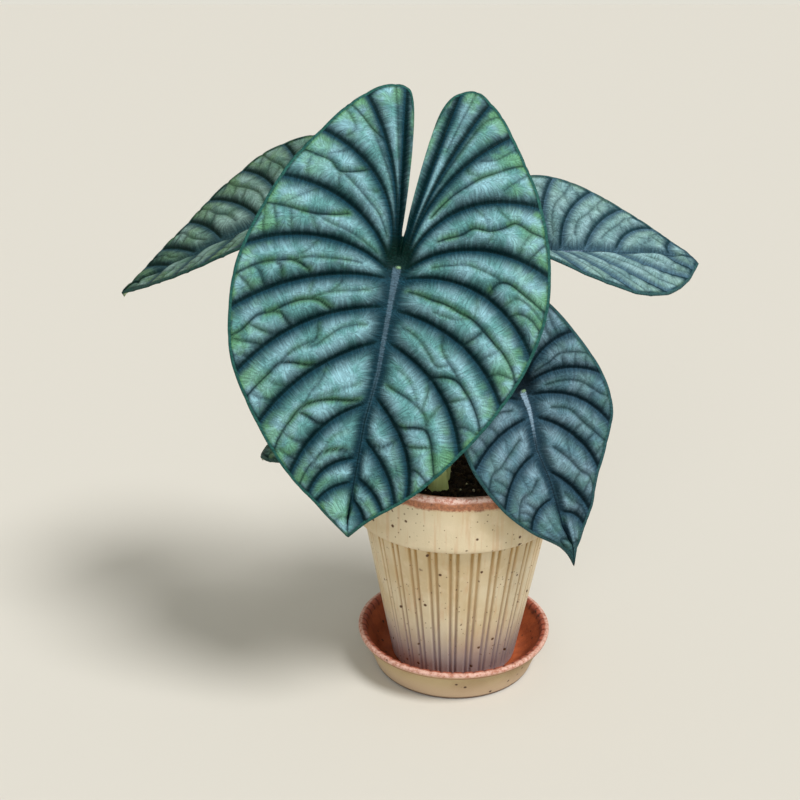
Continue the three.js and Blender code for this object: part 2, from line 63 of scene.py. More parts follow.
# Saucer and pot, as in the solids.
SEAT_GAP = 0.3
SAUCER_RIM_RADIUS = 60
SAUCER_BASE_RADIUS = 49
SAUCER_HEIGHT = 24
SAUCER_FLOOR = 6
SAUCER_WALL = 4.5
RIM_NOTCHES = 56
NOTCH_DEPTH = 0.4
POT_FOOT_RADIUS = 38.6
POT_SHOULDER_RADIUS = 56.4
POT_SHOULDER_HEIGHT = 103
POT_RIM_HEIGHT = 137
COLLAR_RADIUS = 62
POT_WALL = 5
POT_FLOOR = 6
FLUTES = 28
FLUTE_DEPTH = 1.3
DRAIN_RADIUS = 6
SOIL_EDGE_HEIGHT = 125
SOIL_CROWN_HEIGHT = 128

# Crumbs keep clear of the pot's wall and of the middle of a stalk.
CRUMBS_FROM_WALL = 3
CRUMBS_FROM_STALK = 6

# Leaves: thickness, rise of the midrib, quilting, the dip over the stalk, how far a sway
# of the midrib carries the blade with it, and the second veins' folds and fine lines.
BLADE = 1.0
MIDRIB_RISE = 0.5
QUILT_GAIN = 0.22
QUILT_WIDEST = 24
QUILT_ROUNDNESS = 0.75
QUILT_LEAN = 0.8
DIP_RADIUS = 14
SWAY_REACH = 26
SECOND_VEIN_CUT = 0.7
SECOND_FOLD_WIDTH = 2.0
SECOND_LINE_WIDTH = 0.65
SECOND_LINE_DEPTH = 0.35

# How far the margin's groove and its edge turn down, their widths and the groove's place,
# and the distance from the margin that stands for the whole midrib.
GROOVE_DROP = 0.25
GROOVE_FROM_EDGE = 2.0
GROOVE_WIDTH = 0.7
EDGE_DROP = 0.5
EDGE_WIDTH = 1.2
FAR_FROM_RIM = 30

# Middle of the painted shade in the hub, the funnel where the stalk joins, and of the pale knob there, in
# the flat blade.
HUB_SHADE_AT = (0, 4, 0)
KNOB_AT = (0.5, -1.9, 0)

# Ribs under the blade, below the side veins, the second veins and the midrib.
RIB_BELOW = 1.0
RIB_WIDTH = 1.1
NET_BELOW = 0.9
MIDRIB_BELOW = 1.1

# Stalks: height of the foot, gap between the tip and the blade's underside, width of
# the tip as a share of the pad, taper, and the sheath's wing and groove, each as its
# angle round the stalk, width and share of the radius. The sheath ends between two
# shares of the stalk's length.
STALK_FOOT = 96
SEAT_DEPTH = 0.2
STALK_TIP = 0.85
STALK_TAPER = 1.4
SHEATH_WING = (5.75, 0.2, 0.18)
SHEATH_GROOVE = (5.2, 0.3, 0.1)
SHEATH_END = (0.42, 0.2)

# The same leaves as in the solids. `at` is the pad where the stalk joins the blade.
# `aim` is the heading and tilt of the upper face, then the turn of the apex within
# it, in degrees. `fold` and `curl` lift the left and right halves, `ease` fades the
# fold towards the apex, `arch` droops the apex and the lobes, and `sway` shifts the
# midrib sideways at heights along it. A margin runs from the apex to the notch, and a
# vein is its start, its end in the margin and its bow.
LEAVES = {
    "front": {
        "at": (-34.7, -52, 266), "aim": (2, 24, -11), "fold": (8, 8), "curl": (-0.0018, -0.0018),
        "ease": 0, "arch": (0.0026, 0.0035), "pad": 3.2, "dip": 6,
        "sway": [(-147, 0), (-135, -2), (-84, -2.3), (-70, -1), (-58, 0)],
        "left": {
            "margin": [
                (0, -147), (16, -133), (34, -119), (49, -103), (63, -84), (74.5, -64), (80, -40),
                (80.5, -14), (74, 12), (65, 37), (52, 60), (39, 80), (26, 93.5), (13, 98), (7.5, 90),
                (4, 68), (2.6, 44), (2, 26), (0, 14),
            ],
            "veins": [
                (-116, 1.2, 0.24), (-103, 1.45, 0.36), (-74, 2.1, 0.24), (-42, 3.5, 0.19),
                (-24, 4.7, 0.22), (-9, 6.05, 0.18), (-4, 7.3, 0.26), (0, 8.8, 0.27),
                (1.3, 10.05, 0.34), (2.2, 11.5, 0.15), (3.6, 13.1, 0),
            ],
        },
        "right": {
            "margin": [
                (0, -147), (12, -134.5), (31, -116), (49, -92), (64, -67), (75, -40), (79.5, -12),
                (76, 15), (67, 42), (55.5, 63), (45.5, 80), (35.5, 93.5), (25, 101.5), (14, 97.5),
                (7.5, 83), (4.6, 58), (3.2, 38), (2, 24), (0, 14),
            ],
            "veins": [
                (-125, 0.8, 0.2), (-113, 1.28, 0.22), (-92, 1.55, 0.18), (-70, 1.8, 0.26),
                (-41.5, 3.0, 0.26), (-25, 4.1, 0.27), (-8, 5.1, 0.36), (-2.5, 6.6, 0.3),
                (1.5, 7.9, 0.36), (2.2, 9.8, 0.2), (2.8, 11.2, 0.07), (3.8, 12.7, 0.01),
            ],
        },
    },
    "small": {
        "at": (32.7, -44, 195), "aim": (6, 20, 16), "fold": (14, 6), "curl": (-0.001, -0.001),
        "ease": 0.3, "arch": (0.003, 0.003), "pad": 2.4, "dip": 4,
        "sway": [(-106, 0), (-91, 1), (-80, -0.5), (-52, -0.8), (-34, -3), (-22, -1.4), (-12, 0)],
        "left": {
            "margin": [
                (0, -106), (3, -97), (9, -88), (20, -76), (30, -62), (38, -45), (43, -26), (44, -6),
                (41, 14), (34, 33), (24, 48), (13, 53), (6, 42), (3, 25), (0, 9),
            ],
            "veins": [
                (-63, 2.9, 0.4), (-36, 4.1, 0.28), (-16.5, 5.6, 0.2), (-6, 7.2, 0.2), (1, 9.2, 0.14),
                (2.4, 10.6, 0.04),
            ],
        },
        "right": {
            "margin": [
                (0, -106), (3, -97), (8, -89), (17.5, -76), (25, -60), (35, -43), (43, -27), (44, -8),
                (39, 12), (31, 33), (22, 48), (12, 52), (6, 41), (3, 25), (0, 9),
            ],
            "veins": [
                (-71.5, 2.35, 0.4), (-47.5, 2.9, 0.16), (-17, 4.2, 0.3), (-5, 5.6, 0.32),
                (1.2, 7.1, 0.29), (2, 8.4, 0.3), (2.8, 10.4, 0.04),
            ],
        },
    },
    "right": {
        "at": (48.5, 15, 257.2), "aim": (-14, 60, 94), "fold": (44, 28), "curl": (-0.003, -0.003),
        "ease": 0.86, "arch": (0.0025, 0.0025), "pad": 2.4, "dip": 4,
        "sway": [(-87, 0), (-80, 3.2), (-64, 2.4), (-50, 1), (-38, 0)],
        "left": {
            "margin": [
                (0, -87), (8, -84.5), (21, -79.5), (36, -68), (47, -52), (51.5, -33), (49.5, -13),
                (43, 8), (35, 25), (25, 38), (14, 43), (6, 34), (2.5, 21), (0, 8),
            ],
            "veins": [
                (-68, 1.1, 0.3), (-38.5, 1.8, 0.3), (-19, 3.0, 0.27), (-7.5, 4.15, 0.26),
                (1.2, 5.5, 0.21), (2.4, 8.4, 0.04),
            ],
        },
        "right": {
            "margin": [
                (0, -87), (3, -83), (10, -74), (22, -58), (33, -40), (42.5, -20), (47.5, 0),
                (45, 18), (39, 32), (28, 43), (16, 46), (7, 36), (3, 22), (0, 8),
            ],
            "veins": [
                (-71, 2.2, 0.4), (-40, 2.8, 0.4), (-22.5, 3.85, 0.22), (-9.5, 4.75, 0.27),
                (-2, 5.85, 0.2), (1.6, 7.4, 0.14), (2.6, 9.4, 0.04),
            ],
        },
    },
    "left": {
        "at": (-95.8, 15, 279), "aim": (-40, 58, -44), "fold": (20, 26), "curl": (-0.001, -0.001),
        "ease": 0.2, "arch": (0.001, 0.002), "pad": 2.4, "dip": 4,
        "sway": [(0, 0)],
        "left": {
            "margin": [
                (0, -109.5), (3, -103), (8, -94), (15.5, -80), (24, -62), (34, -44), (42.5, -24),
                (49, -4), (49, 16), (43, 34), (31, 48), (17, 52), (8, 42), (3, 26), (0, 9),
            ],
            "veins": [
                (-76, 2.2, 0.1), (-59, 3.05, 0.1), (-42, 4.15, 0.18), (-16.5, 5.0, 0.2),
                (-4, 6.2, 0.3), (1.2, 7.6, 0.3), (2.4, 9.6, 0.1),
            ],
        },
        "right": {
            "margin": [
                (0, -109.5), (6, -102), (14, -93), (25.5, -78), (36, -61), (43, -42), (47, -22),
                (48, -2), (46, 17), (40, 34), (29, 47), (16, 51), (8, 41), (3, 26), (0, 9),
            ],
            "veins": [
                (-80, 2.4, 0.16), (-56, 3.6, 0.18), (-34, 4.7, 0.2), (-16, 5.8, 0.2), (-4, 7.1, 0.2),
                (1.2, 8.7, 0.16), (2.4, 10.6, 0.04),
            ],
        },
    },
    "low": {
        "at": (-58.5, -26, 172.5), "aim": (-50, 66, -34), "fold": (14, 14), "curl": (-0.001, -0.001),
        "ease": 0.3, "arch": (0.003, 0.003), "pad": 2, "dip": 2.5,
        "sway": [(0, 0)],
        "left": {
            "margin": [
                (0, -60), (6, -54), (15, -45), (22, -32), (26, -17), (26, -2), (22, 12), (14, 23),
                (7, 21), (3, 14), (0, 6),
            ],
            "veins": [(-36, 2.2, 0.16), (-18, 3.3, 0.2), (-4, 4.6, 0.2), (1.5, 6.4, 0.12)],
        },
        "right": {
            "margin": [
                (0, -60), (9, -55), (19, -46), (26, -33), (28, -17), (27, -2), (22, 12), (14, 23),
                (7, 21), (3, 14), (0, 6),
            ],
            "veins": [(-36, 2.2, 0.16), (-18, 3.3, 0.2), (-4, 4.6, 0.2), (1.5, 6.4, 0.12)],
        },
    },
}

# Each stalk: where it stands in the soil, its radius there, how far it rises
# straight, the direction in which it meets the blade and how long that pull is.
STALKS = {
    "front": {"foot": (-10.5, -25), "radius": 7, "rise": 70, "meets": (-0.1, -0.5, 0.86), "reach": 55},
    "small": {"foot": (-9.5, -11), "radius": 5, "rise": 70, "meets": (0.84, -0.45, 0.3), "reach": 35},
    "right": {"foot": (-8, 8), "radius": 5.4, "rise": 90, "meets": (0.62, 0.1, 0.78), "reach": 50},
    "left": {"foot": (-18.5, 1), "radius": 5.4, "rise": 90, "meets": (-0.72, 0.1, 0.69), "reach": 60},
    "low": {"foot": (-21.5, -12), "radius": 4.2, "rise": 40, "meets": (-0.7, -0.2, 0.68), "reach": 24},
}

# Each blade's dress: its slot, how far the quilting of its left and right halves stands
# out as a share of the big leaf's, the strength of the second veins where they aren't
# read from the photo, the half width of the pale midrib at the stalk and the length over
# which it thins out, the spacing of the fine grid along the margin and its rows from
# midrib to margin, how strong the green is, how far the dark runs from a vein, and the
# width of the margin's line.
DRESS = {
    "front": {
        "slot": "blade_silver", "relief": (1, 1), "pale_rib": (1.5, 200), "grid": (0.92, 86),
        "greening": 0.62, "reach": 9.0, "edge": 1.6,
    },
    "small": {
        "slot": "blade_slate", "relief": (0.85, 0.85), "net": 0.7, "pale_rib": (1.1, 78),
        "grid": (0.8, 60), "greening": 0.4, "reach": 6.5, "edge": 1.5,
    },
    "right": {
        "slot": "blade_pale", "relief": (0.55, 0.45), "net": 0.55, "pale_rib": (0.9, 90),
        "grid": (0.8, 60), "greening": 0.3, "reach": 6.0, "edge": 1.0,
    },
    "left": {
        "slot": "blade_dark", "relief": (0.75, 0.35), "net": 0.75, "pale_rib": (0.9, 120),
        "grid": (0.8, 60), "greening": 0.6, "reach": 7.0, "edge": 1.1,
    },
    "low": {
        "slot": "blade_dark", "relief": (0.8, 0.8), "net": 0.7, "pale_rib": (0.8, 60),
        "grid": (0.8, 34), "greening": 0.6, "reach": 7.0, "edge": 1.1,
    },
}

# Colours of the upper faces, by slot.
# dark is the veins' own colour deepened by painted shade; hub_shade is painted shade.
SHADES = ("dark", "band", "silver", "mid", "green", "line", "margin", "rib", "hub_shade")
PALETTES = {
    "blade_silver": "#021e25 #193e4c #8ab9c6 #609698 #669f68 #022226 #2a5c56 #48606f #05221c",
    "blade_slate": "#08202b #2c4a5b #7696a6 #587d8b #4c7a66 #061f28 #2f5357 #86a0b4 #04121a",
    "blade_pale": "#143944 #48687a #93b8c0 #799fa4 #7fa586 #14343d #33575a #7286a0 #2c4450",
    "blade_dark": "#0d2624 #2c4850 #7c9a94 #5c7e72 #5d8056 #0b221e #264640 #5d7674 #0a1614",
}

# Streaks to the millimetre.
FINE_STREAKS = 1.15
WIDE_STREAKS = 0.5


# Numbers and curves

def smooth(low, high, x):
    t = np.clip((x - low) / (high - low), 0, 1)
    return t * t * (3 - 2 * t)


def bell(x, width):
    """A bell curve of height one."""
    return np.exp(-((x / width) ** 2))


def turn(count):
    """Even angles round the axis."""
    return 2 * math.pi * np.arange(count) / count


def share_of_turn(angles, count):
    """How far each angle has come from one of count even places to the next."""
    return (angles * count / (2 * math.pi)) % 1


def triple(*columns):
    """Columns side by side as vectors, filled up with zeros."""
    zeros = [np.zeros_like(columns[0])] * (3 - len(columns))
    return np.stack([*columns, *zeros], -1)


def spline(points, where):
    """Uniform Catmull-Rom spline through points, at places counted in points."""
    k = np.clip(np.floor(where).astype(int), 0, len(points) - 2)
    t = (where - k)[..., None]
    a, b, c, d = (points[np.clip(k + i, 0, len(points) - 1)] for i in (-1, 0, 1, 2))
    return b + 0.5 * t * (c - a + t * (2 * a - 5 * b + 4 * c - d + t * (3 * b - a - 3 * c + d)))


def bezier(points, t):
    """Bezier curve of two, three or four control points at the parameters t."""
    points = [np.asarray(p, float) for p in points]
    t = np.asarray(t)[..., None]
    while len(points) > 1:
        points = [(1 - t) * a + t * b for a, b in zip(points, points[1:])]
    return points[0]


def distance(points, line):
    """Distance of each point from a chain of segments."""
    a, b = line[:-1], line[1:]
    ab = b - a
    ap = points[:, None, :] - a[None]
    along = (ap * ab).sum(-1) / np.maximum((ab * ab).sum(-1), 1e-9)
    gap = ap - np.clip(along, 0, 1)[..., None] * ab
    return np.sqrt((gap * gap).sum(-1)).min(1)


# Meshes and materials

def make_piece(name, points, faces, looks, nodes=(), fields=None, face_looks=None):
    """A smooth mesh piece from points in mm, which rides on the plant's one body."""
    mesh = bpy.data.meshes.new(name)
    points = np.asarray(points, float) * MM
    loops = np.concatenate([np.asarray(f, int).ravel() for f in faces])
    sizes = np.concatenate([np.full(len(f), np.shape(f)[1]) for f in faces])
    mesh.vertices.add(len(points))
    mesh.vertices.foreach_set("co", points.astype(np.float32).ravel())
    mesh.loops.add(len(loops))
    mesh.loops.foreach_set("vertex_index", loops.astype(np.int32))
    mesh.polygons.add(len(sizes))
    starts = np.concatenate([[0], np.cumsum(sizes)[:-1]])
    mesh.polygons.foreach_set("loop_start", starts.astype(np.int32))
    mesh.update(calc_edges=True)
    for look in looks:
        mesh.materials.append(look)
    if face_looks is not None:
        mesh.polygons.foreach_set("material_index", np.asarray(face_looks, np.int32))
    mesh.shade_smooth()
    for field, values in (fields or {}).items():
        layer = mesh.attributes.new(field, "FLOAT_VECTOR", "POINT")
        layer.data.foreach_set("vector", np.asarray(values, np.float32).ravel())
    piece = bpy.data.objects.new(name, mesh)
    bpy.context.collection.objects.link(piece)
    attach(piece, "root")
    if nodes:
        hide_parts(*nodes)
    return piece


def paint(code):
    """A colour from its hexadecimal code, as linear light."""
    parts = [int(code[i:i + 2], 16) / 255 for i in (1, 3, 5)]
    return (*[c / 12.92 if c <= 0.04045 else ((c + 0.055) / 1.055) ** 2.4 for c in parts], 1)


class Signal:
    """What a node of a material gives. Arithmetic with it adds nodes."""

    def __init__(self, look, socket):
        self.look = look
        self.socket = socket

    def __add__(self, other):
        return self.look.math("ADD", self, other)

    def __sub__(self, other):
        return self.look.math("SUBTRACT", self, other)

    def __rsub__(self, other):
        return self.look.math("SUBTRACT", other, self)

    def __mul__(self, other):
        return self.look.math("MULTIPLY", self, other)

    def __truediv__(self, other):
        return self.look.math("DIVIDE", self, other)

    def __abs__(self):
        return self.look.math("ABSOLUTE", self)

    __radd__ = __add__
    __rmul__ = __mul__

    def most(self, other):
        return self.look.math("MAXIMUM", self, other)

    def least(self, other):
        return self.look.math("MINIMUM", self, other)

    def step(self, low, high, top=1.0):
        """Rises smoothly from 0 to top as the signal goes from low to high."""
        inputs = {"Value": self, "From Min": low, "From Max": high, "To Max": top}
        return self.look.signal("MapRange", inputs, "Result", interpolation_type="SMOOTHSTEP")


class Look:
    """A procedural material, with its colour so far and short calls for its nodes."""

    def __init__(self, name, roughness, specular):
        self.material = bpy.data.materials.new(name)
        self.material.use_nodes = True
        self.tree = self.material.node_tree
        self.shader = self.tree.nodes["Principled BSDF"].inputs
        self.shader["Roughness"].default_value = roughness
        self.shader["Specular IOR Level"].default_value = specular
        self.colour = None

    def feed(self, socket, value):
        """Sets a socket to a number, a colour's code or a signal."""
        if isinstance(value, Signal):
            self.tree.links.new(value.socket, socket)
        else:
            socket.default_value = paint(value) if isinstance(value, str) else value

    def outputs(self, kind, inputs, **settings):
        """The signals that a new node gives."""
        node = self.tree.nodes.new(f"ShaderNode{kind}")
        for name, value in settings.items():
            setattr(node, name, value)
        for socket, value in inputs.items():
            self.feed(node.inputs[socket], value)
        return node.outputs

    def signal(self, kind, inputs, output=0, **settings):
        return Signal(self, self.outputs(kind, inputs, **settings)[output])

    def math(self, operation, a, b=0.0):
        return self.signal("Math", {0: a, 1: b}, operation=operation)

    def vector(self, operation, inputs, output="Vector"):
        return self.signal("VectorMath", dict(enumerate(inputs)), output, operation=operation)

    def mix(self, factor, a, b):
        return self.signal("Mix", {0: factor, 6: a, 7: b}, 2, data_type="RGBA")

    def coat(self, mask, colour):
        """Lays a colour over the one so far, where the mask is up."""
        self.colour = self.mix(mask, self.colour, colour)

    def shade(self, value):
        """Multiplies the colour so far by a number."""
        self.colour = self.signal("VectorMath", {0: self.colour, "Scale": value}, operation="SCALE")

    def field(self, name):
        """A vector that the mesh carries, and its three parts."""
        vector = self.signal("Attribute", {}, "Vector", attribute_name=name)
        return vector, [Signal(self, part) for part in self.outputs("SeparateXYZ", {0: vector})]

    def joined(self, x, y):
        return self.signal("CombineXYZ", {0: x, 1: y})

    def place(self):
        """The point on the object, in metres."""
        return self.signal("TexCoord", {}, "Object")

    def noise(self, vector, scale, detail=2.0, rough=0.5):
        inputs = {"Vector": vector, "Scale": scale, "Detail": detail, "Roughness": rough}
        return self.signal("TexNoise", inputs, "Fac")

    def cells(self, vector, scale):
        return self.signal("TexVoronoi", {"Vector": vector, "Scale": scale}, "Distance")

    def finish(self, height=None, depth=0.0):
        """Feeds the colour to the shader, and a bump of the given depth in mm."""
        self.feed(self.shader["Base Color"], self.colour)
        if height is not None:
            bump = self.signal("Bump", {"Height": height, "Distance": depth * MM})
            self.feed(self.shader["Normal"], bump)
        return self.material


# Leaf blade in its flat state

class Half:
    """One half of a flat blade, whose veins fan from the midrib to the margin."""

    def __init__(self, leaf, side):
        self.sign = -1 if side == "left" else 1
        self.pad = leaf["pad"]
        self.margin = np.array(leaf[side]["margin"], float)
        self.length = -self.margin[0, 1]
        first = (-self.length, 0, 0)
        last = (self.pad * math.pi / 2, len(self.margin) - 1, 0)
        self.veins = np.array([first, *leaf[side]["veins"], last], float)
        self.panels = len(self.veins) - 1

    def start(self, along):
        """The start of a vein: down the midrib's edge, or round the pad."""
        angle = np.maximum(along, 0) / self.pad
        band = self.pad * (1 + np.minimum(along, 0) / self.length)
        u = band * np.cos(angle)
        v = np.where(along > 0, self.pad * np.sin(angle), along)
        return np.stack([u, v], -1)

    def at(self, place, out):
        """The point out of the way along vein place; panels lie between whole places."""
        place, out = np.broadcast_arrays(np.asarray(place, float), np.asarray(out, float))
        k = np.clip(np.floor(place).astype(int), 0, self.panels - 1)
        t = (place - k)[..., None]
        along, end, bow = np.moveaxis((1 - t) * self.veins[k] + t * self.veins[k + 1], -1, 0)
        start = self.start(along)
        finish = spline(self.margin, end)
        chord = finish - start
        side = np.stack([-chord[..., 1], chord[..., 0]], -1)
        middle = start + chord / 2 + bow[..., None] * side
        return bezier([start, middle, finish], out)

    def columns(self, spacing):
        """Places of the grid's columns, an even number to each panel."""
        places = [0.0]
        for k in range(self.panels):
            edge = self.at(np.linspace(k, k + 1, 12), 1)
            width = np.linalg.norm(np.diff(edge, axis=0), axis=1).sum()
            count = 2 * max(2, round(width / spacing / 2))
            places.extend(k + np.arange(1, count + 1) / count)
        return np.array(places)


# Second veins. Each is its strength and its way through the panel, in percent: places
# across the panel (0 at the vein nearer the apex, 100 at the next) and outwards (100
# at the margin). The big leaf's are read from the photo, panel by panel.
FRONT_NETS = {}
FRONT_NETS["left"] = {
    0: [(40, [(50, 90), (50, 50), (45, 20)])],
    1: [(40, [(50, 100), (45, 60), (40, 25)])],
    2: [
        (90, [(45, 100), (45, 80), (40, 62), (42, 50), (30, 30), (20, 15)]),
        (50, [(40, 62), (70, 66), (100, 70)]),
        (40, [(42, 50), (60, 35), (60, 15)]),
        (50, [(42, 72), (20, 62), (0, 50)]),
    ],
    3: [
        (100, [(47, 100), (53, 90), (56, 75), (57, 60), (41, 40), (20, 20), (10, 8)]),
        (90, [(57, 66), (38, 58), (15, 50), (0, 42)]),
        (50, [(53, 84), (30, 78), (0, 68)]),
        (50, [(50, 95), (25, 90), (0, 84)]),
        (45, [(60, 58), (70, 50), (76, 42), (100, 36)]),
        (35, [(58, 50), (45, 30), (40, 10)]),
    ],
    4: [
        (100, [(50, 100), (50, 90), (50, 80), (52, 70), (38, 61), (18, 52), (0, 42)]),
        (70, [(52, 70), (58, 60), (57, 50), (55, 43), (82, 40), (100, 42)]),
        (55, [(52, 50), (45, 42), (60, 25), (56, 10)]),
        (50, [(48, 95), (30, 90), (0, 80)]),
        (40, [(50, 82), (25, 76), (0, 66)]),
    ],
    5: [
        (100, [(57, 100), (53, 90), (60, 80), (53, 70), (54, 60), (52, 50), (40, 40), (15, 33), (0, 29)]),
        (95, [(53, 70), (42, 64), (20, 60), (0, 57)]),
        (70, [(56, 86), (30, 77), (10, 70), (0, 67)]),
        (80, [(50, 97), (25, 86), (10, 80), (0, 77)]),
        (50, [(25, 98), (15, 92), (0, 87)]),
        (55, [(50, 45), (55, 33), (52, 20), (55, 10)]),
        (45, [(55, 46), (75, 46), (100, 45)]),
        (45, [(55, 33), (75, 28), (100, 27)]),
    ],
    6: [
        (100, [(50, 100), (52, 90), (52, 80), (48, 70), (42, 60), (20, 50), (0, 48)]),
        (65, [(43, 61), (47, 50), (45, 40), (46, 30), (50, 18)]),
        (85, [(48, 73), (35, 68), (15, 66), (0, 66)]),
        (80, [(52, 86), (30, 80), (0, 76)]),
        (80, [(50, 97), (22, 88), (0, 83)]),
        (40, [(50, 59), (65, 53), (100, 48)]),
        (30, [(46, 35), (25, 30), (0, 22)]),
    ],
    7: [
        (100, [(58, 100), (54, 90), (50, 80), (46, 70), (47, 60), (60, 50), (78, 44)]),
        (50, [(45, 62), (35, 50), (35, 30), (35, 12)]),
        (65, [(53, 92), (25, 84), (0, 78)]),
        (60, [(55, 98), (20, 91), (0, 86)]),
        (50, [(48, 80), (25, 74), (0, 68)]),
        (40, [(45, 66), (20, 57), (0, 50)]),
        (40, [(55, 86), (75, 78), (100, 70)]),
    ],
    8: [
        (100, [(53, 100), (52, 90), (54, 80), (46, 70), (70, 63), (100, 60)]),
        (65, [(46, 68), (43, 60), (42, 50), (43, 40), (50, 30), (50, 15)]),
        (50, [(48, 72), (30, 66), (0, 60)]),
        (45, [(52, 92), (25, 88), (0, 82)]),
        (40, [(55, 86), (80, 80), (100, 80)]),
        (35, [(43, 50), (70, 45), (100, 42)]),
    ],
    9: [
        (85, [(62, 100), (64, 90), (67, 80), (80, 73), (100, 68)]),
        (55, [(50, 100), (42, 90), (30, 85), (12, 86)]),
        (45, [(66, 78), (55, 60), (55, 40), (50, 20)]),
        (35, [(57, 64), (80, 58), (100, 50)]),
    ],
    10: [(55, [(65, 100), (60, 80), (50, 60), (50, 40)])],
}
FRONT_NETS["right"] = {
    1: [(40, [(50, 95), (45, 60), (40, 30)])],
    2: [(30, [(60, 95), (60, 60), (50, 30)])],
    3: [
        (75, [(0, 10), (30, 28), (60, 36), (95, 42)]),
        (35, [(60, 40), (45, 70), (50, 95)]),
    ],
    4: [
        (100, [(52, 100), (50, 90), (50, 80), (52, 70), (50, 60), (35, 50), (15, 40), (0, 30)]),
        (65, [(50, 60), (58, 52), (55, 42), (50, 32), (42, 20), (35, 8)]),
        (45, [(57, 46), (80, 43), (100, 38)]),
        (45, [(56, 56), (80, 57), (100, 60)]),
        (40, [(56, 40), (70, 25), (70, 10)]),
        (65, [(50, 74), (20, 60), (0, 50)]),
        (75, [(40, 100), (20, 82), (0, 72)]),
    ],
    5: [
        (100, [(47, 100), (50, 90), (50, 80), (48, 70), (45, 60), (30, 50), (12, 43), (0, 38)]),
        (65, [(48, 62), (52, 52), (55, 45), (68, 38), (100, 35)]),
        (55, [(53, 48), (30, 40), (38, 30), (52, 20), (60, 8)]),
        (50, [(48, 74), (20, 66), (0, 60)]),
        (60, [(42, 98), (20, 86), (0, 80)]),
    ],
    6: [
        (100, [(45, 100), (50, 90), (50, 80), (47, 70), (48, 60), (50, 50), (48, 40), (50, 30),
               (50, 20), (60, 6)]),
        (90, [(48, 60), (30, 57), (10, 53), (0, 50)]),
        (70, [(45, 95), (20, 83), (0, 78)]),
        (40, [(48, 76), (20, 70), (0, 65)]),
        (40, [(49, 48), (30, 38), (25, 25)]),
        (30, [(50, 50), (75, 50), (100, 46)]),
    ],
    7: [
        (100, [(55, 100), (52, 90), (50, 80), (50, 70), (42, 63), (25, 58), (0, 54)]),
        (55, [(45, 64), (50, 50), (55, 40), (50, 30), (45, 18)]),
        (85, [(30, 100), (30, 90), (20, 80), (0, 73)]),
        (55, [(42, 98), (40, 80), (25, 72), (0, 66)]),
    ],
    8: [
        (100, [(57, 100), (55, 90), (63, 80), (50, 70), (43, 60), (50, 50), (40, 40), (45, 25)]),
        (40, [(45, 60), (70, 60), (100, 55)]),
        (35, [(60, 77), (80, 72), (100, 70)]),
        (45, [(55, 90), (30, 82), (0, 76)]),
        (75, [(52, 100), (25, 90), (0, 83)]),
        (35, [(45, 64), (20, 58), (0, 52)]),
    ],
    9: [
        (90, [(53, 100), (52, 90), (50, 80), (50, 70), (47, 60), (47, 50), (40, 30)]),
        (55, [(80, 100), (72, 85), (84, 76)]),
        (50, [(50, 72), (70, 66), (90, 66)]),
        (50, [(42, 100), (30, 90), (18, 80)]),
    ],
    10: [(60, [(50, 100), (65, 93), (72, 86), (65, 70), (55, 45)])],
    11: [(60, [(50, 100), (45, 80), (40, 60)])],
}


def default_net(panel, seed):
    """A wavy line along the panel, arches from it to the lower vein, forks to the upper."""
    sway = [math.sin(12.9 * seed + 7.7 * panel + 2.1 * i) for i in range(8)]
    net = [(1, [(0.52 + 0.07 * sway[i], 1 - 0.2 * i) for i in range(5)])]
    for i, out in enumerate((0.95, 0.8, 0.62)):
        arch = [(0.5, out), (0.25, out - 0.09 + 0.02 * sway[i]), (0, out - 0.14 + 0.03 * sway[i])]
        net.append((0.7, arch))
    for i, out in enumerate((0.72, 0.42)):
        net.append((0.4, [(0.52, out), (0.75, out - 0.02), (1, out - 0.06 + 0.04 * sway[i + 3])]))
    return net


def net_of(name, side, panel):
    """The second veins of one panel, with strengths and places as shares of one."""
    if name == "front":
        net = FRONT_NETS[side].get(panel, [])
        return [(strength / 100, np.array(way) / 100) for strength, way in net]
    share = DRESS[name]["net"]
    return [(share * strength, np.array(way)) for strength, way in default_net(panel, len(name + side))]


def second_veins(blade, panel, net, points):
    """How deep each point lies in the folds and in the fine lines of the second veins."""
    folds = np.zeros(len(points))
    lines = np.zeros(len(points))
    for strength, way in net:
        steps = np.linspace(0, len(way) - 1, 10 * len(way))
        parts, outs = spline(way, steps).T
        track = blade.at(panel + np.clip(parts, 0, 0.999), np.clip(outs, 0, 1))
        gap = distance(points, track)
        folds = np.maximum(folds, strength * bell(gap, SECOND_FOLD_WIDTH * (0.6 + 0.4 * strength)))
        lines = np.maximum(lines, strength * bell(gap, SECOND_LINE_WIDTH))
    return folds, lines


# Surface of half a blade

def slope(grid, height):
    """The height's slope in the flat plane, as a vector no longer than one."""
    across, out = np.gradient(grid, axis=0), np.gradient(grid, axis=1)
    high_across, high_out = np.gradient(height, axis=0), np.gradient(height, axis=1)
    area = across[..., 0] * out[..., 1] - across[..., 1] * out[..., 0]
    area = np.where(np.abs(area) < 1e-4, 1e-4, area)
    x = (high_across * out[..., 1] - high_out * across[..., 1]) / area
    y = (high_out * across[..., 0] - high_across * out[..., 0]) / area
    steep = np.hypot(x, y) + 0.06
    return np.stack([x / steep, y / steep], -1)


def vein_fields(blade, nets, grid, panel):
    """Depth in the second veins' folds and lines, and distance from the veins on each side."""
    fields = [np.zeros(grid.shape[:2]) for _ in range(4)]
    steps = np.linspace(0, 1, 50)
    for k, net in enumerate(nets):
        rows = panel == k
        size = grid[rows].shape[:2]
        points = grid[rows].reshape(-1, 2)
        beside = [distance(points, blade.at(vein, steps)) for vein in (k, k + 1)]
        for field, values in zip(fields, [*second_veins(blade, k, net, points), *beside]):
            field[rows] = values.reshape(size)
    return fields


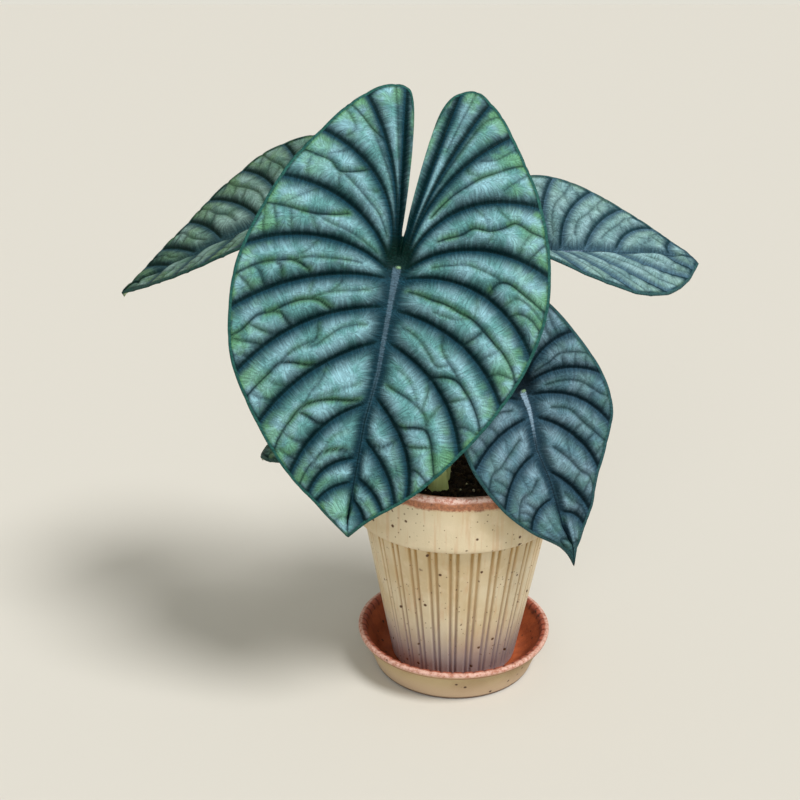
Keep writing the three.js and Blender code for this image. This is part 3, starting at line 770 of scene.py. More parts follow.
def rim_distance(blade, grid, places, along):
    """Distance from the margin, from each row's own slant to it."""
    step = 1e-3
    ahead = blade.at(np.clip(places + step, 0, blade.panels), 1)
    edge = ahead - blade.at(np.clip(places - step, 0, None), 1)
    heading = grid[:, -1] - grid[:, -2]
    turned = np.abs(edge[:, 0] * heading[:, 1] - edge[:, 1] * heading[:, 0])
    sine = turned / np.maximum(np.linalg.norm(edge, axis=1) * np.linalg.norm(heading, axis=1), 1e-9)
    return (along[:, -1:] - along) * np.clip(sine, 0.25, 1)[:, None]


def half_fields(blade, nets, relief, places, outs):
    """Flat points, heights and surface fields of one half's grid, all in mm."""
    grid = blade.at(places[:, None], outs[None])
    panel = np.minimum(places.astype(int), blade.panels - 1)
    part = (places - panel)[:, None]
    start, end = (blade.at(panel[:, None] + i, outs[None]) for i in (0, 1))
    span = np.linalg.norm(end - start, axis=-1)
    folds, lines, before, after = vein_fields(blade, nets, grid, panel)
    first = np.minimum(before, after)
    # A vein's own row belongs to both panels, so it lies on a vein for both.
    before[part[:, 0] == 0] = 0
    after[part[:, 0] == 0] = 0
    # The quilting rises from the midrib, and sinks in two steps towards the margin.
    crest = np.sin(math.pi * np.clip(part, 0, 1) ** QUILT_LEAN).clip(0) ** QUILT_ROUNDNESS
    outwards = 1 - 0.35 * smooth(0.6, 0.9, outs) - 0.45 * smooth(0.84, 1, outs)
    ends = relief * smooth(0, 0.16, outs) * outwards
    height = QUILT_GAIN * np.minimum(span, QUILT_WIDEST) * crest * ends
    height = height * (1 - SECOND_VEIN_CUT * folds) * smooth(-1.2, 2.4, first)
    flow = slope(grid, height)
    height = height - SECOND_LINE_DEPTH * lines * smooth(0.5, 3, first)
    runs = np.linalg.norm(np.diff(grid, axis=1), axis=2)
    along = np.concatenate([np.zeros((len(grid), 1)), np.cumsum(runs, axis=1)], 1)
    rim = rim_distance(blade, grid, places, along)
    roll = -GROOVE_DROP * bell(rim - GROOVE_FROM_EDGE, GROOVE_WIDTH)
    roll = roll - EDGE_DROP * (1 - smooth(0, EDGE_WIDTH, rim))
    height = height + roll * smooth(3, 8, along)
    return {"flat": grid, "height": height, "before": before, "after": after, "span": span,
            "lines": lines, "folds": folds, "rim": rim, "along": along, "flow": flow * [blade.sign, 1]}


def with_midrib(fields, inner=(0.2, 0.6)):
    """Adds rows over the midrib band, at the given shares of its half width."""
    start = fields["flat"][:, :1]
    down = start[..., 1:] <= 0
    shares = np.array(inner)[None, :, None]
    rows = {name: np.repeat(values[:, :1], len(inner), 1) for name, values in fields.items()}
    u = start[..., :1] * shares
    v = np.where(down, start[..., 1:], start[..., 1:] * shares)
    rows["flat"] = np.concatenate([np.broadcast_to(u, v.shape), v], -1)
    half_width = np.linalg.norm(np.where(down, start * [1, 0], start), axis=-1)
    rows["along"] = -(1 - shares[..., 0]) * half_width
    rows["height"] = MIDRIB_RISE * (1 - shares[..., 0] ** 2) * np.minimum(half_width, 1)
    rows["rim"] = np.full_like(rows["along"], FAR_FROM_RIM)
    return {name: np.concatenate([rows[name], fields[name]], 1) for name in fields}


# Leaf blade in space

def leaf_axes(leaf):
    """Which way the blade's upper face, its apex and its right side point."""
    heading, tilt, twist = (math.radians(angle) for angle in leaf["aim"])
    aside, ahead = math.sin(heading), -math.cos(heading)
    face = Vector((aside * math.cos(tilt), ahead * math.cos(tilt), math.sin(tilt)))
    fall = Vector((aside * math.sin(tilt), ahead * math.sin(tilt), -math.cos(tilt)))
    apex = fall * math.cos(twist) + face.cross(fall) * math.sin(twist)
    return [np.array(axis) for axis in (face, apex, face.cross(apex))]


def set_points(leaf, u, v, height):
    """Folds, curls and arches points of the flat blade, then sets them in place."""
    face, apex, across = leaf_axes(leaf)
    length = -leaf["left"]["margin"][0][1]
    left = u < 0
    sign = np.where(left, -1.0, 1.0)
    fade = 1 - leaf["ease"] * np.clip(-v / length, -0.5, 1)
    fold = np.radians(np.where(left, *leaf["fold"])) * fade
    curl = np.where(left, *leaf["curl"])
    angle = fold + curl * np.abs(u)
    lift = height - leaf["dip"] * np.exp(-(u * u + v * v) / DIP_RADIUS ** 2)
    x = sign * ((np.sin(angle) - np.sin(fold)) / curl - lift * np.sin(angle))
    z = (np.cos(fold) - np.cos(angle)) / curl + lift * np.cos(angle)
    arch = np.where(v < 0, *leaf["arch"])
    radius = 1 / arch + z
    y = radius * np.sin(v * arch)
    rise = radius * np.cos(v * arch) - 1 / arch
    x = x + np.interp(v, *np.transpose(leaf["sway"])) * bell(u, SWAY_REACH)
    return np.array(leaf["at"]) + x[:, None] * across - y[:, None] * apex + rise[:, None] * face


def zip_band(left, right, v):
    """Triangles between two chains that run up the blade, stepping where it lags."""
    i = j = 0
    triangles = []
    while i < len(left) - 1 or j < len(right) - 1:
        next_left = v[left[i + 1]] if i < len(left) - 1 else math.inf
        next_right = v[right[j + 1]] if j < len(right) - 1 else math.inf
        if next_left < next_right:
            triangles.append((left[i], right[j], left[i + 1]))
            i += 1
        else:
            triangles.append((left[i], right[j], right[j + 1]))
            j += 1
    return [t for t in triangles if len(set(t)) == 3]


def grid_faces(index, sign):
    """Quads of a grid of vertex numbers, and triangles where a corner repeats.

    Corners repeat only in the first row, which is drawn together to one point.
    """
    corners = [index[:-1, :-1], index[:-1, 1:], index[1:, 1:], index[1:, :-1]]
    quads = np.stack(corners, -1).reshape(-1, 4)
    if sign < 0:
        quads = quads[:, ::-1]
    near, rest = np.split(quads, [index.shape[1] - 1])
    whole = np.array([len(set(quad)) == 4 for quad in near])
    bent = [tuple(dict.fromkeys(quad)) for quad in near[~whole].tolist()]
    return np.concatenate([near[whole], rest]), [t for t in bent if len(t) == 3]


def joined_halves(name, halves):
    """Both halves' vertex numbers, which meet at the midrib's ends, and their fields."""
    spacing, row_count = DRESS[name]["grid"]
    # Rows lie closer together towards the margin.
    s = np.linspace(0, 1, row_count + 1)
    outs = 1.35 * s - 0.35 * s * s
    collected = {}
    grids = []
    count = 0
    for blade, side, relief in zip(halves, SIDES, DRESS[name]["relief"]):
        nets = [net_of(name, side, k) for k in range(blade.panels)]
        fields = with_midrib(half_fields(blade, nets, relief, blade.columns(spacing), outs))
        fields["flat"] = fields["flat"] * [blade.sign, 1]
        shape = fields["height"].shape
        size = shape[0] * shape[1]
        index = np.arange(count, count + size).reshape(shape)
        index[0] = grids[0][0, 0] if grids else index[0, 0]
        if grids:
            index[-1] = grids[0][-1]
        grids.append(index)
        count += size
        for key, values in fields.items():
            collected.setdefault(key, []).append(values.reshape(size, -1))
    return grids, count, {key: np.concatenate(values) for key, values in collected.items()}


def rim_strip(top, count, sign):
    """Triangles from the upper margin to every second vertex of the lower one."""
    triangles = []
    for i in range(0, len(top) - 1, 2):
        a, b, c = top[i:i + 3]
        low, high = a + count, c + count
        triangles += [(b, a, low), (b, low, high), (c, b, high)]
    return triangles if sign > 0 else [t[::-1] for t in triangles]


def blade_faces(grids, halves, count, v):
    """Faces of a fine upper sheet, a lower one on every second row and the rim."""
    quads, triangles = [], []
    for level, stride in ((0, 1), (1, 2)):
        chains = []
        for index, blade in zip(grids, halves):
            coarse = index[::stride, ::stride] + level * count
            faces, corners = grid_faces(coarse, blade.sign * (1 - 2 * level))
            quads.append((faces, level))
            triangles.append((corners, level))
            chains.append(coarse[:, 0])
        band = zip_band(*chains, np.concatenate([v, v]))
        triangles.append(([t[::-1] for t in band] if level else band, level))
    triangles += [(rim_strip(index[:, -1], count, blade.sign), 0) for index, blade in zip(grids, halves)]
    kept = [(np.array(faces), level) for faces, level in quads + triangles if len(faces)]
    levels = [np.full(len(faces), level) for faces, level in kept]
    return [faces for faces, _ in kept], np.concatenate(levels)


def blade_mesh(name):
    """Points, faces, levels and fields of the closed blade."""
    leaf = LEAVES[name]
    halves = [Half(leaf, side) for side in SIDES]
    grids, count, data = joined_halves(name, halves)
    u, v = data.pop("flat").T
    flow = data.pop("flow").T
    data = {key: values[:, 0] for key, values in data.items()}
    first = np.minimum(data["before"], data["after"])
    along, lines, folds, rim = (data[key] for key in ("along", "lines", "folds", "rim"))
    rib = RIB_BELOW * bell(first, RIB_WIDTH) * smooth(60, 10, np.maximum(along, 0))
    rib = rib + NET_BELOW * np.maximum(lines, 0.6 * folds) + MIDRIB_BELOW * smooth(1.5, -1.5, along)
    rib = rib * smooth(0, 4, rim)
    above = set_points(leaf, u, v, data["height"] + BLADE / 2)
    below = set_points(leaf, u, v, data["height"] - BLADE / 2 - rib)
    points = np.concatenate([above, below])
    faces, levels = blade_faces(grids, halves, count, v)
    used = np.zeros(len(points), bool)
    for some in faces:
        used[some.ravel()] = True
    renumber = np.cumsum(used) - 1
    fields = {
        "flat": triple(u, v),
        "flow": triple(*flow),
        "veins": triple(data["before"], data["after"], data["span"]),
        "net": triple(lines, folds),
        "edge": triple(rim, along),
    }
    fields = {key: np.concatenate([values, values])[used] for key, values in fields.items()}
    return points[used], [renumber[some] for some in faces], levels, fields


# Looks of the blades

def blade_fields(look):
    """The fields that a blade's mesh carries."""
    at = SimpleNamespace()
    at.flat, (at.aside, at.down, _) = look.field("flat")
    at.flow = look.field("flow")[0]
    at.before, at.after, at.span = look.field("veins")[1]
    at.lines, at.folds, _ = look.field("net")[1]
    at.rim, at.along, _ = look.field("edge")[1]
    at.first = at.before.least(at.after)
    return at


def streaks(look, at, scale, reach, steps=3):
    """Noise drawn out along the flow, so that it runs square to the veins."""
    total = 0.0
    for k in range(-steps, steps + 1):
        point = look.vector("MULTIPLY_ADD", (at.flow, (k * reach,) * 3, at.flat))
        total = look.noise(point, scale, 1) + total
    return total / (2.0 * steps + 1)


def coat_quilting(look, at, tone, reach, fingers):
    """Silver on the quilting, and dark along the veins, deepened into painted shade on the slopes that
    face down.

    The silver starts raggedly above a vein, and fades softly into the band below one.
    """
    ragged = 1.1 * fingers + 3.0 * look.noise(at.flat, 0.045, 2) - 2.05
    ragged = ragged * at.span.step(2.0, 16.0)
    near = (0.5 * at.span + 0.6).least(reach)
    above, below = (at.before + ragged).step(-0.4, near), (at.after + 0.35 * ragged).step(0.8, near)
    beside_rib = (at.along + ragged).step(0.0, 0.0075 * reach * at.down + 1.4 * reach)
    # Painted shade: the silver dims in the folds of the second veins.
    silver = above * below * beside_rib * at.rim.step(1.2, 3.2) * (1.0 - 0.5 * at.folds)
    # The dark is the veins' own colour, deepened into painted shade on the slope above a vein, which
    # faces down.
    banded = at.after.step(near, 0.6).most(at.along.step(9.0, 1.0, 0.6))
    dark = look.mix(banded, tone["dark"], tone["band"])
    sheen = look.mix(look.noise(at.flat, 0.07, 3).step(0.4, 0.62), tone["silver"], tone["mid"])
    look.colour = look.mix(silver, dark, sheen)


def coat_veins(look, at, tone, dress):
    """Green towards folds and margin, dark lines in the folds, vein lines widened by painted shade, the
    margin, and painted shade in the hub over the stalk.
    """
    green = at.rim.step(24.0, 3.0).most(at.folds)
    green = green * look.noise(at.flat, 0.09, 3).step(0.4, 0.6, dress["greening"])
    look.coat(green * at.first.step(1.0, 5.0), tone["green"])
    look.coat(0.9 * at.lines, tone["line"])
    # The veins' own dark line, widened on one side by painted shade where the slope faces down into the
    # crease.
    crease_line_and_shade = at.before.step(1.8, 0.4, 0.9).most(at.after.step(0.8, 0.2, 0.9))
    look.coat(crease_line_and_shade * at.along.step(0.0, 3.0), tone["line"])
    look.coat(at.rim.step(dress["edge"] + 0.3, dress["edge"] - 0.3), tone["margin"])
    # Painted shade in the funnel where the stalk joins the blade.
    hub_shade = look.vector("DISTANCE", (at.flat, HUB_SHADE_AT), "Value")
    look.coat(hub_shade.step(14.0, 4.0, 0.94), tone["hub_shade"])


def coat_midrib(look, at, tone, dress, grain):
    """A pale midrib that thins out to a dark thread, with a knob where the stalk joins."""
    half_width, length = dress["pale_rib"]
    from_rib = abs(at.aside) - (half_width / length * at.down + half_width)
    from_rib = from_rib + 2.4 * (grain - 0.5)
    fading = at.down.step(-0.15 * length, -0.45 * length, 0.85)
    top = at.down + 8.0 * grain
    rib = from_rib.step(0.4, -0.4) * top.step(2.5, 0.5)
    look.coat(rib, look.mix(fading, tone["rib"], tone["band"]))
    knob = look.vector("DISTANCE", (at.flat, KNOB_AT), "Value")
    look.coat(knob.step(1.2, 0.3, 0.75), "#93b78c")
    thread = abs(at.aside).step(0.7, 0.3, 0.8)
    look.coat(thread * at.down.step(-0.25 * length, -0.4 * length), tone["line"])


def blade_look(name):
    """Upper face: dark along the veins, partly painted shade, silvery and finely wrinkled on the
    quilting.
    """
    dress = DRESS[name]
    tone = dict(zip(SHADES, PALETTES[dress["slot"]].split()))
    look = Look(f"blade_{name}", roughness=0.46, specular=0.07)
    at = blade_fields(look)
    grain = look.noise(at.flat, 1.3, 3, 0.65)
    fine = streaks(look, at, FINE_STREAKS, 0.55).step(0.36, 0.62)
    drawn = streaks(look, at, WIDE_STREAKS, 1.3)
    wrinkle = abs(drawn - 0.49).step(0.045, 0.01)
    coat_quilting(look, at, tone, dress["reach"], drawn.step(0.36, 0.62))
    coat_veins(look, at, tone, dress)
    coat_midrib(look, at, tone, dress, grain)
    look.shade(0.3 * grain + 0.3 * fine + 0.74 - 0.26 * wrinkle)
    return look.finish(fine + 0.5 * grain - wrinkle, 0.18)


def under_look():
    """Lower face: dull pale green with paler ribs."""
    look = Look("leaf_underside", roughness=0.55, specular=0.3)
    at = blade_fields(look)
    ribs = at.first.step(1.8, 0.5).most(at.along.step(1.5, 0.2)).most(0.5 * at.lines)
    look.colour = look.mix(0.75 * ribs, "#7f9c86", "#b4c19a")
    look.shade(0.4 * look.noise(at.flat, 0.06, 2) + 0.8)
    return look.finish(look.noise(at.flat, 0.8, 4, 0.6), 0.12)


def make_leaves():
    under = under_look()
    for name in LEAVES:
        points, faces, levels, fields = blade_mesh(name)
        make_piece(f"blade_{name}", points, faces, [blade_look(name), under],
                   [f"leaf_{name}"], fields, levels)


# Stalks

def stalk_look():
    """Pale green, finely striped along, with a few dark speckles."""
    look = Look("stalk_skin", roughness=0.4, specular=0.5)
    around, up, share = look.field("stalk")[1]
    point = look.place()
    stripes = look.noise(look.joined(1.4 * around, 0.04 * up), 1, 3)
    specks = look.cells(look.joined(around, 0.55 * up), 0.42).step(0.16, 0.08, 0.75)
    look.colour = look.mix(share.step(0.0, 0.9), "#e2ea9e", "#96ae84")
    look.coat(look.noise(point, 90, 3).step(0.4, 0.7, 0.35), "#a2b35e")
    look.coat(specks * look.noise(point, 160, 1).step(0.55, 0.6), "#39401c")
    look.shade(0.4 * stripes + 0.8)
    return look.finish(stripes, 0.12)


def stalk_track(name, stations):
    """Points of the stalk's curve, evenly spaced, the blade's face and the length."""
    leaf, stalk = LEAVES[name], STALKS[name]
    face = leaf_axes(leaf)[0]
    lifts = [leaf["pad"] * math.sin(math.radians(fold)) for fold in leaf["fold"]]
    pad_height = sum(lifts) / 2 - leaf["dip"] * bell(leaf["pad"], DIP_RADIUS)
    seat = np.array(leaf["at"]) + face * (pad_height - BLADE / 2 - SEAT_DEPTH)
    foot = np.array([*stalk["foot"], STALK_FOOT], float)
    meets = np.array(stalk["meets"]) / np.linalg.norm(stalk["meets"])
    control = [foot, foot + [0, 0, stalk["rise"]], seat - meets * stalk["reach"], seat]
    dense = bezier(control, np.linspace(0, 1, 400))
    runs = np.concatenate([[0], np.cumsum(np.linalg.norm(np.diff(dense, axis=0), axis=1))])
    even = np.linspace(0, runs[-1], stations)
    return np.stack([np.interp(even, runs, dense[:, i]) for i in range(3)], -1), face, runs[-1]


def stalk_outline(angles, t):
    """The stalk's radius as a share, winged and grooved at its sheath and ribbed above."""
    wing, groove = (size * bell(angles - middle, width)
                    for middle, width, size in (SHEATH_WING, SHEATH_GROOVE))
    sheath = float(smooth(*SHEATH_END, np.array(t)))
    return 1 + sheath * (wing - groove) + 0.012 * np.cos(9 * angles)


def sleeve(index):
    """Quads between the rings of a tube of vertex numbers."""
    around = np.roll(index, -1, axis=1)
    return np.stack([index[:-1], around[:-1], around[1:], index[1:]], -1).reshape(-1, 4)


def make_stalk(name, look, stations=90, sides=28):
    """A tapering stalk from the soil to its seat under the blade."""
    leaf, stalk = LEAVES[name], STALKS[name]
    track, face, length = stalk_track(name, stations)
    tangents = np.gradient(track, axis=0)
    tangents /= np.linalg.norm(tangents, axis=1)[:, None]
    side = Vector((1, 0, 0))
    tip = leaf["pad"] * STALK_TIP
    angles = turn(sides)
    points, fields = [], []
    for t, centre, tangent in zip(np.arange(stations) / (stations - 1), track, tangents):
        side = (side - Vector(tangent) * side.dot(Vector(tangent))).normalized()
        up = Vector(tangent).cross(side)
        radius = tip + (stalk["radius"] - tip) * (1 - t) ** STALK_TAPER
        arms = np.cos(angles)[:, None] * np.array(side) + np.sin(angles)[:, None] * np.array(up)
        points.append(centre + (radius * stalk_outline(angles, t))[:, None] * arms)
        fields.append(np.stack([angles * radius, np.full(sides, t * length), np.full(sides, t)], -1))
    # The last ring slides along the stalk until it lies flat under the blade.
    slide = ((track[-1] - points[-1]) @ face) / (tangents[-1] @ face)
    points[-1] = points[-1] + slide[:, None] * tangents[-1]
    index = np.arange(stations * sides).reshape(stations, sides)
    ends = [index[0][None, ::-1], index[-1][None]]
    make_piece(f"petiole_{name}", np.concatenate(points), [sleeve(index), *ends], [look],
               [f"stalk_{name}"], {"stalk": np.concatenate(fields)})


# Turned pieces

def rounded(profile, radii, steps=5):
    """A profile with its corners cut to short curves of the given radii."""
    profile = [np.array(p, float) for p in profile]
    points = []
    for i, (corner, radius) in enumerate(zip(profile, radii)):
        if radius == 0:
            points.append(corner)
            continue
        arms = [profile[i - 1] - corner, profile[(i + 1) % len(profile)] - corner]
        lengths = [np.linalg.norm(arm) for arm in arms]
        cuts = [corner + arm / length * min(radius, length * 0.45) for arm, length in zip(arms, lengths)]
        points.extend(bezier([cuts[0], corner, cuts[1]], np.linspace(0, 1, steps)))
    return np.array(points)


def densified(profile, spacing):
    """Adds points so that no step along the closed profile is longer than spacing."""
    points = []
    for a, b in zip(profile, np.roll(profile, -1, axis=0)):
        count = max(1, math.ceil(np.linalg.norm(b - a) / spacing))
        points.extend(a + (b - a) * k / count for k in range(count))
    return np.array(points)


def turned_ring(profile, segments, shape):
    """Turns a closed profile about the axis, its radius and height given by shape."""
    angles = turn(segments)
    radius, height = shape(profile[None, :, 0], profile[None, :, 1], angles[:, None])
    points = np.stack([radius * np.cos(angles)[:, None], radius * np.sin(angles)[:, None],
                       np.broadcast_to(height, radius.shape)], -1).reshape(-1, 3)
    index = np.arange(segments * len(profile)).reshape(segments, -1)
    turned, along = np.roll(index, -1, axis=0), np.roll(index, -1, axis=1)
    both = np.roll(turned, -1, axis=1)
    return points, np.stack([index, turned, both, along], -1).reshape(-1, 4)


def cavity_radius(height):
    taper = (POT_SHOULDER_RADIUS - POT_FOOT_RADIUS) / (POT_SHOULDER_HEIGHT - SAUCER_FLOOR)
    return POT_FOOT_RADIUS + taper * (height - SAUCER_FLOOR) - POT_WALL


def waves(angles, *terms):
    """A sum of sines round the pot: each term is count, size and shift."""
    return sum(size * np.sin(count * angles + shift) for count, size, shift in terms)


def flute_depth(share):
    """Wide flats parted by a narrow ridge with a soft groove on each side."""
    grooves = sum(bell(share - middle, 0.085) for middle in (0.57, 0.9))
    hollow = 0.15 * np.sin(math.pi * np.clip(share / 0.48, 0, 1))
    return grooves + hollow


def make_pot():
    foot = SAUCER_FLOOR + SEAT_GAP
    floor = foot + POT_FLOOR
    inner_lip = cavity_radius(POT_RIM_HEIGHT)
    taper = (POT_SHOULDER_RADIUS - POT_FOOT_RADIUS) / (POT_SHOULDER_HEIGHT - foot)
    profile = [
        (DRAIN_RADIUS, foot), (POT_FOOT_RADIUS, foot),
        (POT_SHOULDER_RADIUS - 2 * taper, POT_SHOULDER_HEIGHT - 2),
        (POT_SHOULDER_RADIUS, POT_SHOULDER_HEIGHT), (COLLAR_RADIUS - 1.2, POT_SHOULDER_HEIGHT),
        (COLLAR_RADIUS, POT_SHOULDER_HEIGHT + 2), (COLLAR_RADIUS + 0.3, POT_RIM_HEIGHT - 6),
        (COLLAR_RADIUS - 0.2, POT_RIM_HEIGHT), (inner_lip, POT_RIM_HEIGHT),
        (cavity_radius(floor), floor), (DRAIN_RADIUS, floor),
    ]
    radii = [0.5, 1.2, 0, 0.6, 1.4, 2.5, 1, 1.8, 1.2, 2, 1]
    profile = densified(rounded(profile, radii), 3.2)

    def shape(radius, height, angles):
        outside = (radius > cavity_radius(height) + POT_WALL / 2) & (height < POT_SHOULDER_HEIGHT - 0.5)
        fade = smooth(foot, foot + 3, height) * outside
        depth = FLUTE_DEPTH * flute_depth(share_of_turn(angles, FLUTES)) * fade
        wobble = waves(angles, (3, 0.12, 0.4), (7, 0.06, 2.0)) * smooth(20, 120, height)
        return radius - depth + wobble, height + 0 * angles

    points, quads = turned_ring(profile, FLUTES * 20, shape)
    x, y, height = points.T
    depth = flute_depth(share_of_turn(np.arctan2(y, x), FLUTES)) * (height < POT_SHOULDER_HEIGHT)
    inside = np.hypot(x, y) < cavity_radius(height) + 1.5
    make_piece("pot_body", points, [quads], [pot_look()], ["pot"],
               {"pot": triple(depth, height, inside)})


def speckles(look, point, size, share):
    """Scattered dark specks: cells of the given size per metre, kept in some places only."""
    dots = look.cells(point, size).step(0.19, 0.1)
    return dots * look.noise(point, size * 0.41, 1).step(share, share + 0.04)


def pot_look():
    """Speckled beige glaze, bare clay below the lip, brown pooling under the collar, and grooves darkened
    partly by the glaze and partly by painted shade.
    """
    look = Look("pot_glaze", roughness=0.5, specular=0.35)
    depth, height, inside = look.field("pot")[1]
    point = look.place()
    cloud = look.noise(point, 24, 4)
    mottle = look.noise(point, 130, 4, 0.6)
    rough = look.noise(point, 520, 3, 0.7)
    runs = look.noise(look.vector("MULTIPLY", (point, (1, 1, 0.07))), 330, 3)
    look.colour = look.mix(cloud.step(0.38, 0.66), "#d0c1a3", "#c3ae89")
    look.coat(mottle.step(0.45, 0.75, 0.5), "#dac9ac")
    look.coat(look.noise(point, 13, 2).step(0.5, 0.68, 0.4), "#c99c78")
    look.coat(runs.step(0.54, 0.7, 0.3), "#bd8d64")
    pooled = height.step(82.0, 102.0) * height.step(104.5, 103.0)
    look.coat(pooled * (depth.step(0.2, 0.9, 0.75) + 0.2), "#a0823f")
    # The flutes' grooves: glaze colour in them, deepened by painted shade.
    groove = look.mix(height.step(28.0, 75.0), "#6c5658", "#977444")
    look.coat(depth.step(0.15, 0.9, 0.65) * height.step(104.0, 102.0), groove)
    look.coat((height + 16.0 * cloud).step(62.0, 18.0, 0.75), "#968a96")
    wavy = height + (3.0 * mottle + 2.6 * rough - 2.8)
    bare = look.mix(rough.step(0.4, 0.62), "#b06a48", "#84492f")
    look.coat(wavy.step(128.9, 130.9, 0.9), bare)
    lip = look.mix(rough.step(0.42, 0.62), "#e2c2b6", "#bf8270")
    look.coat(wavy.step(133.6, 135.0), lip)
    look.coat(inside, "#8f5238")
    large = speckles(look, point, 150, 0.5)
    look.coat(large.most(0.7 * speckles(look, point, 330, 0.47)), "#54361f")
    return look.finish(0.6 * rough - 0.6 * large, 0.3)


def rim_notches(angles):
    return bell(share_of_turn(angles, RIM_NOTCHES) - 0.5, 0.16)


def make_saucer():
    inner = SAUCER_RIM_RADIUS - SAUCER_WALL
    profile = [
        (1, 0), (SAUCER_BASE_RADIUS, 0), (SAUCER_RIM_RADIUS - 4, SAUCER_HEIGHT - 6),
        (SAUCER_RIM_RADIUS - 0.6, SAUCER_HEIGHT - 3.5), (SAUCER_RIM_RADIUS, SAUCER_HEIGHT),
        (inner, SAUCER_HEIGHT - 0.4), (inner - 1.8, SAUCER_HEIGHT - 5),
        (SAUCER_BASE_RADIUS - 4, SAUCER_FLOOR), (1, SAUCER_FLOOR),
    ]
    profile = densified(rounded(profile, [0, 1.4, 4, 1.6, 1.8, 1.6, 4, 6, 0]), 2.5)

    def inward(radius):
        return smooth(SAUCER_RIM_RADIUS - 1.2, inner + 1, radius)

    def shape(radius, height, angles):
        top = smooth(SAUCER_HEIGHT - 3.5, SAUCER_HEIGHT - 0.8, height)
        wobble = waves(angles, (2, 0.12, 1.0), (5, 0.08, 0.3)) * smooth(4, 20, height)
        return radius + wobble, height - NOTCH_DEPTH * rim_notches(angles) * top * inward(radius)

    segments = RIM_NOTCHES * 12
    points, quads = turned_ring(profile, segments, shape)
    index = np.arange(len(points)).reshape(segments, -1)
    caps = [index[:, 0][None], index[:, -1][None, ::-1]]
    quads = quads.reshape(segments, -1, 4)[:, :-1].reshape(-1, 4)
    x, y, height = points.T
    radius = np.hypot(x, y)
    wall = np.interp(height, [SAUCER_FLOOR, SAUCER_HEIGHT - 5, SAUCER_HEIGHT],
                     [SAUCER_BASE_RADIUS - 1.5, inner + 0.5, inner + 1.6])
    inside = (radius < wall) & (height > SAUCER_FLOOR - 1)
    cut = rim_notches(np.arctan2(y, x)) * inward(radius)
    make_piece("saucer_dish", points, [quads, *caps], [saucer_look()], ["saucer"],
               {"dish": triple(cut, height, inside)})


def saucer_look():
    """Bare clay inside, a notched rim whose pale outer edge carries a painted highlight, painted shade in
    the notches and at the foot, and a speckled beige wash outside.
    """
    look = Look("saucer_clay", roughness=0.6, specular=0.3)
    cut, height, inside = look.field("dish")[1]
    point = look.place()
    mottle = look.noise(point, 150, 4, 0.6)
    rough = look.noise(point, 480, 3, 0.7)
    look.colour = look.mix(look.noise(point, 30, 4).step(0.35, 0.7), "#b7a27b", "#9f8660")
    look.coat(height.step(18.0, 4.0, 0.6), "#c3a891")
    look.coat(inside, look.mix(mottle.step(0.35, 0.7), "#b05a33", "#964a2b"))
    # Pale outer edge of the rim, partly its own colour and partly a painted highlight.
    pale_edge_and_highlight = look.mix(rough.step(0.4, 0.66), "#d6ada0", "#ac705d")
    ruddy = look.mix(rough.step(0.4, 0.66), "#a85a44", "#8a4534")
    level = look.vector("MULTIPLY", (point, (1 / MM, 1 / MM, 0)))
    radius = look.vector("LENGTH", (level,), "Value")
    outer = radius.step(SAUCER_RIM_RADIUS - 3.0, SAUCER_RIM_RADIUS - 1.6)
    on_rim = (height + 1.2 * (rough - 0.5)).step(SAUCER_HEIGHT - 2.9, SAUCER_HEIGHT - 2.0, 0.95)
    look.coat(on_rim, look.mix(outer, ruddy, pale_edge_and_highlight))
    under_rim = height.step(SAUCER_HEIGHT - 4.6, SAUCER_HEIGHT - 3.6)
    look.coat(under_rim * height.step(SAUCER_HEIGHT - 2.4, SAUCER_HEIGHT - 3.2, 0.6), "#8a4c34")
    # Painted shade in the rim's notches.
    notch_shade = cut * height.step(SAUCER_HEIGHT - 5.5, SAUCER_HEIGHT - 3.5)
    look.coat(notch_shade.step(0.25, 0.75, 0.85), "#6a3022")
    # Painted shade along the foot, where the saucer meets the floor.
    look.coat(height.step(2.6, 1.0, 0.85), "#4a2d22")
    look.coat(speckles(look, point, 150, 0.5), "#4e3220")
    return look.finish(rough, 0.3)


# Soil

def soil_look(name, dark, light):
    look = Look(name, roughness=0.95, specular=0.15)
    coarse = look.noise(look.place(), 240, 5, 0.7)
    look.colour = look.mix(coarse.step(0.35, 0.75), dark, light)
    return look.finish(coarse, 1.0)


def soil_height(x, y):
    """A low crown with lumps of three sizes, level at its edge."""
    edge = cavity_radius(SOIL_EDGE_HEIGHT) - SEAT_GAP
    share = np.hypot(x, y) / edge
    top = SOIL_CROWN_HEIGHT - (SOIL_CROWN_HEIGHT - SOIL_EDGE_HEIGHT) * share ** 2
    lump = np.sin(x * 0.42 + 1) * np.cos(y * 0.37) + 0.6 * np.sin((x - y) * 0.71)
    fine = np.sin(x * 1.7 + 2 * np.sin(y * 0.9)) * np.sin(y * 1.9 + 1.5 * np.sin(x * 1.1))
    finer = np.sin(x * 4.1 + y * 1.3) * np.sin(y * 3.7 - x * 0.8)
    return top + (0.9 * lump + 0.45 * fine + 0.2 * finer) * smooth(1.0, 0.96, share)


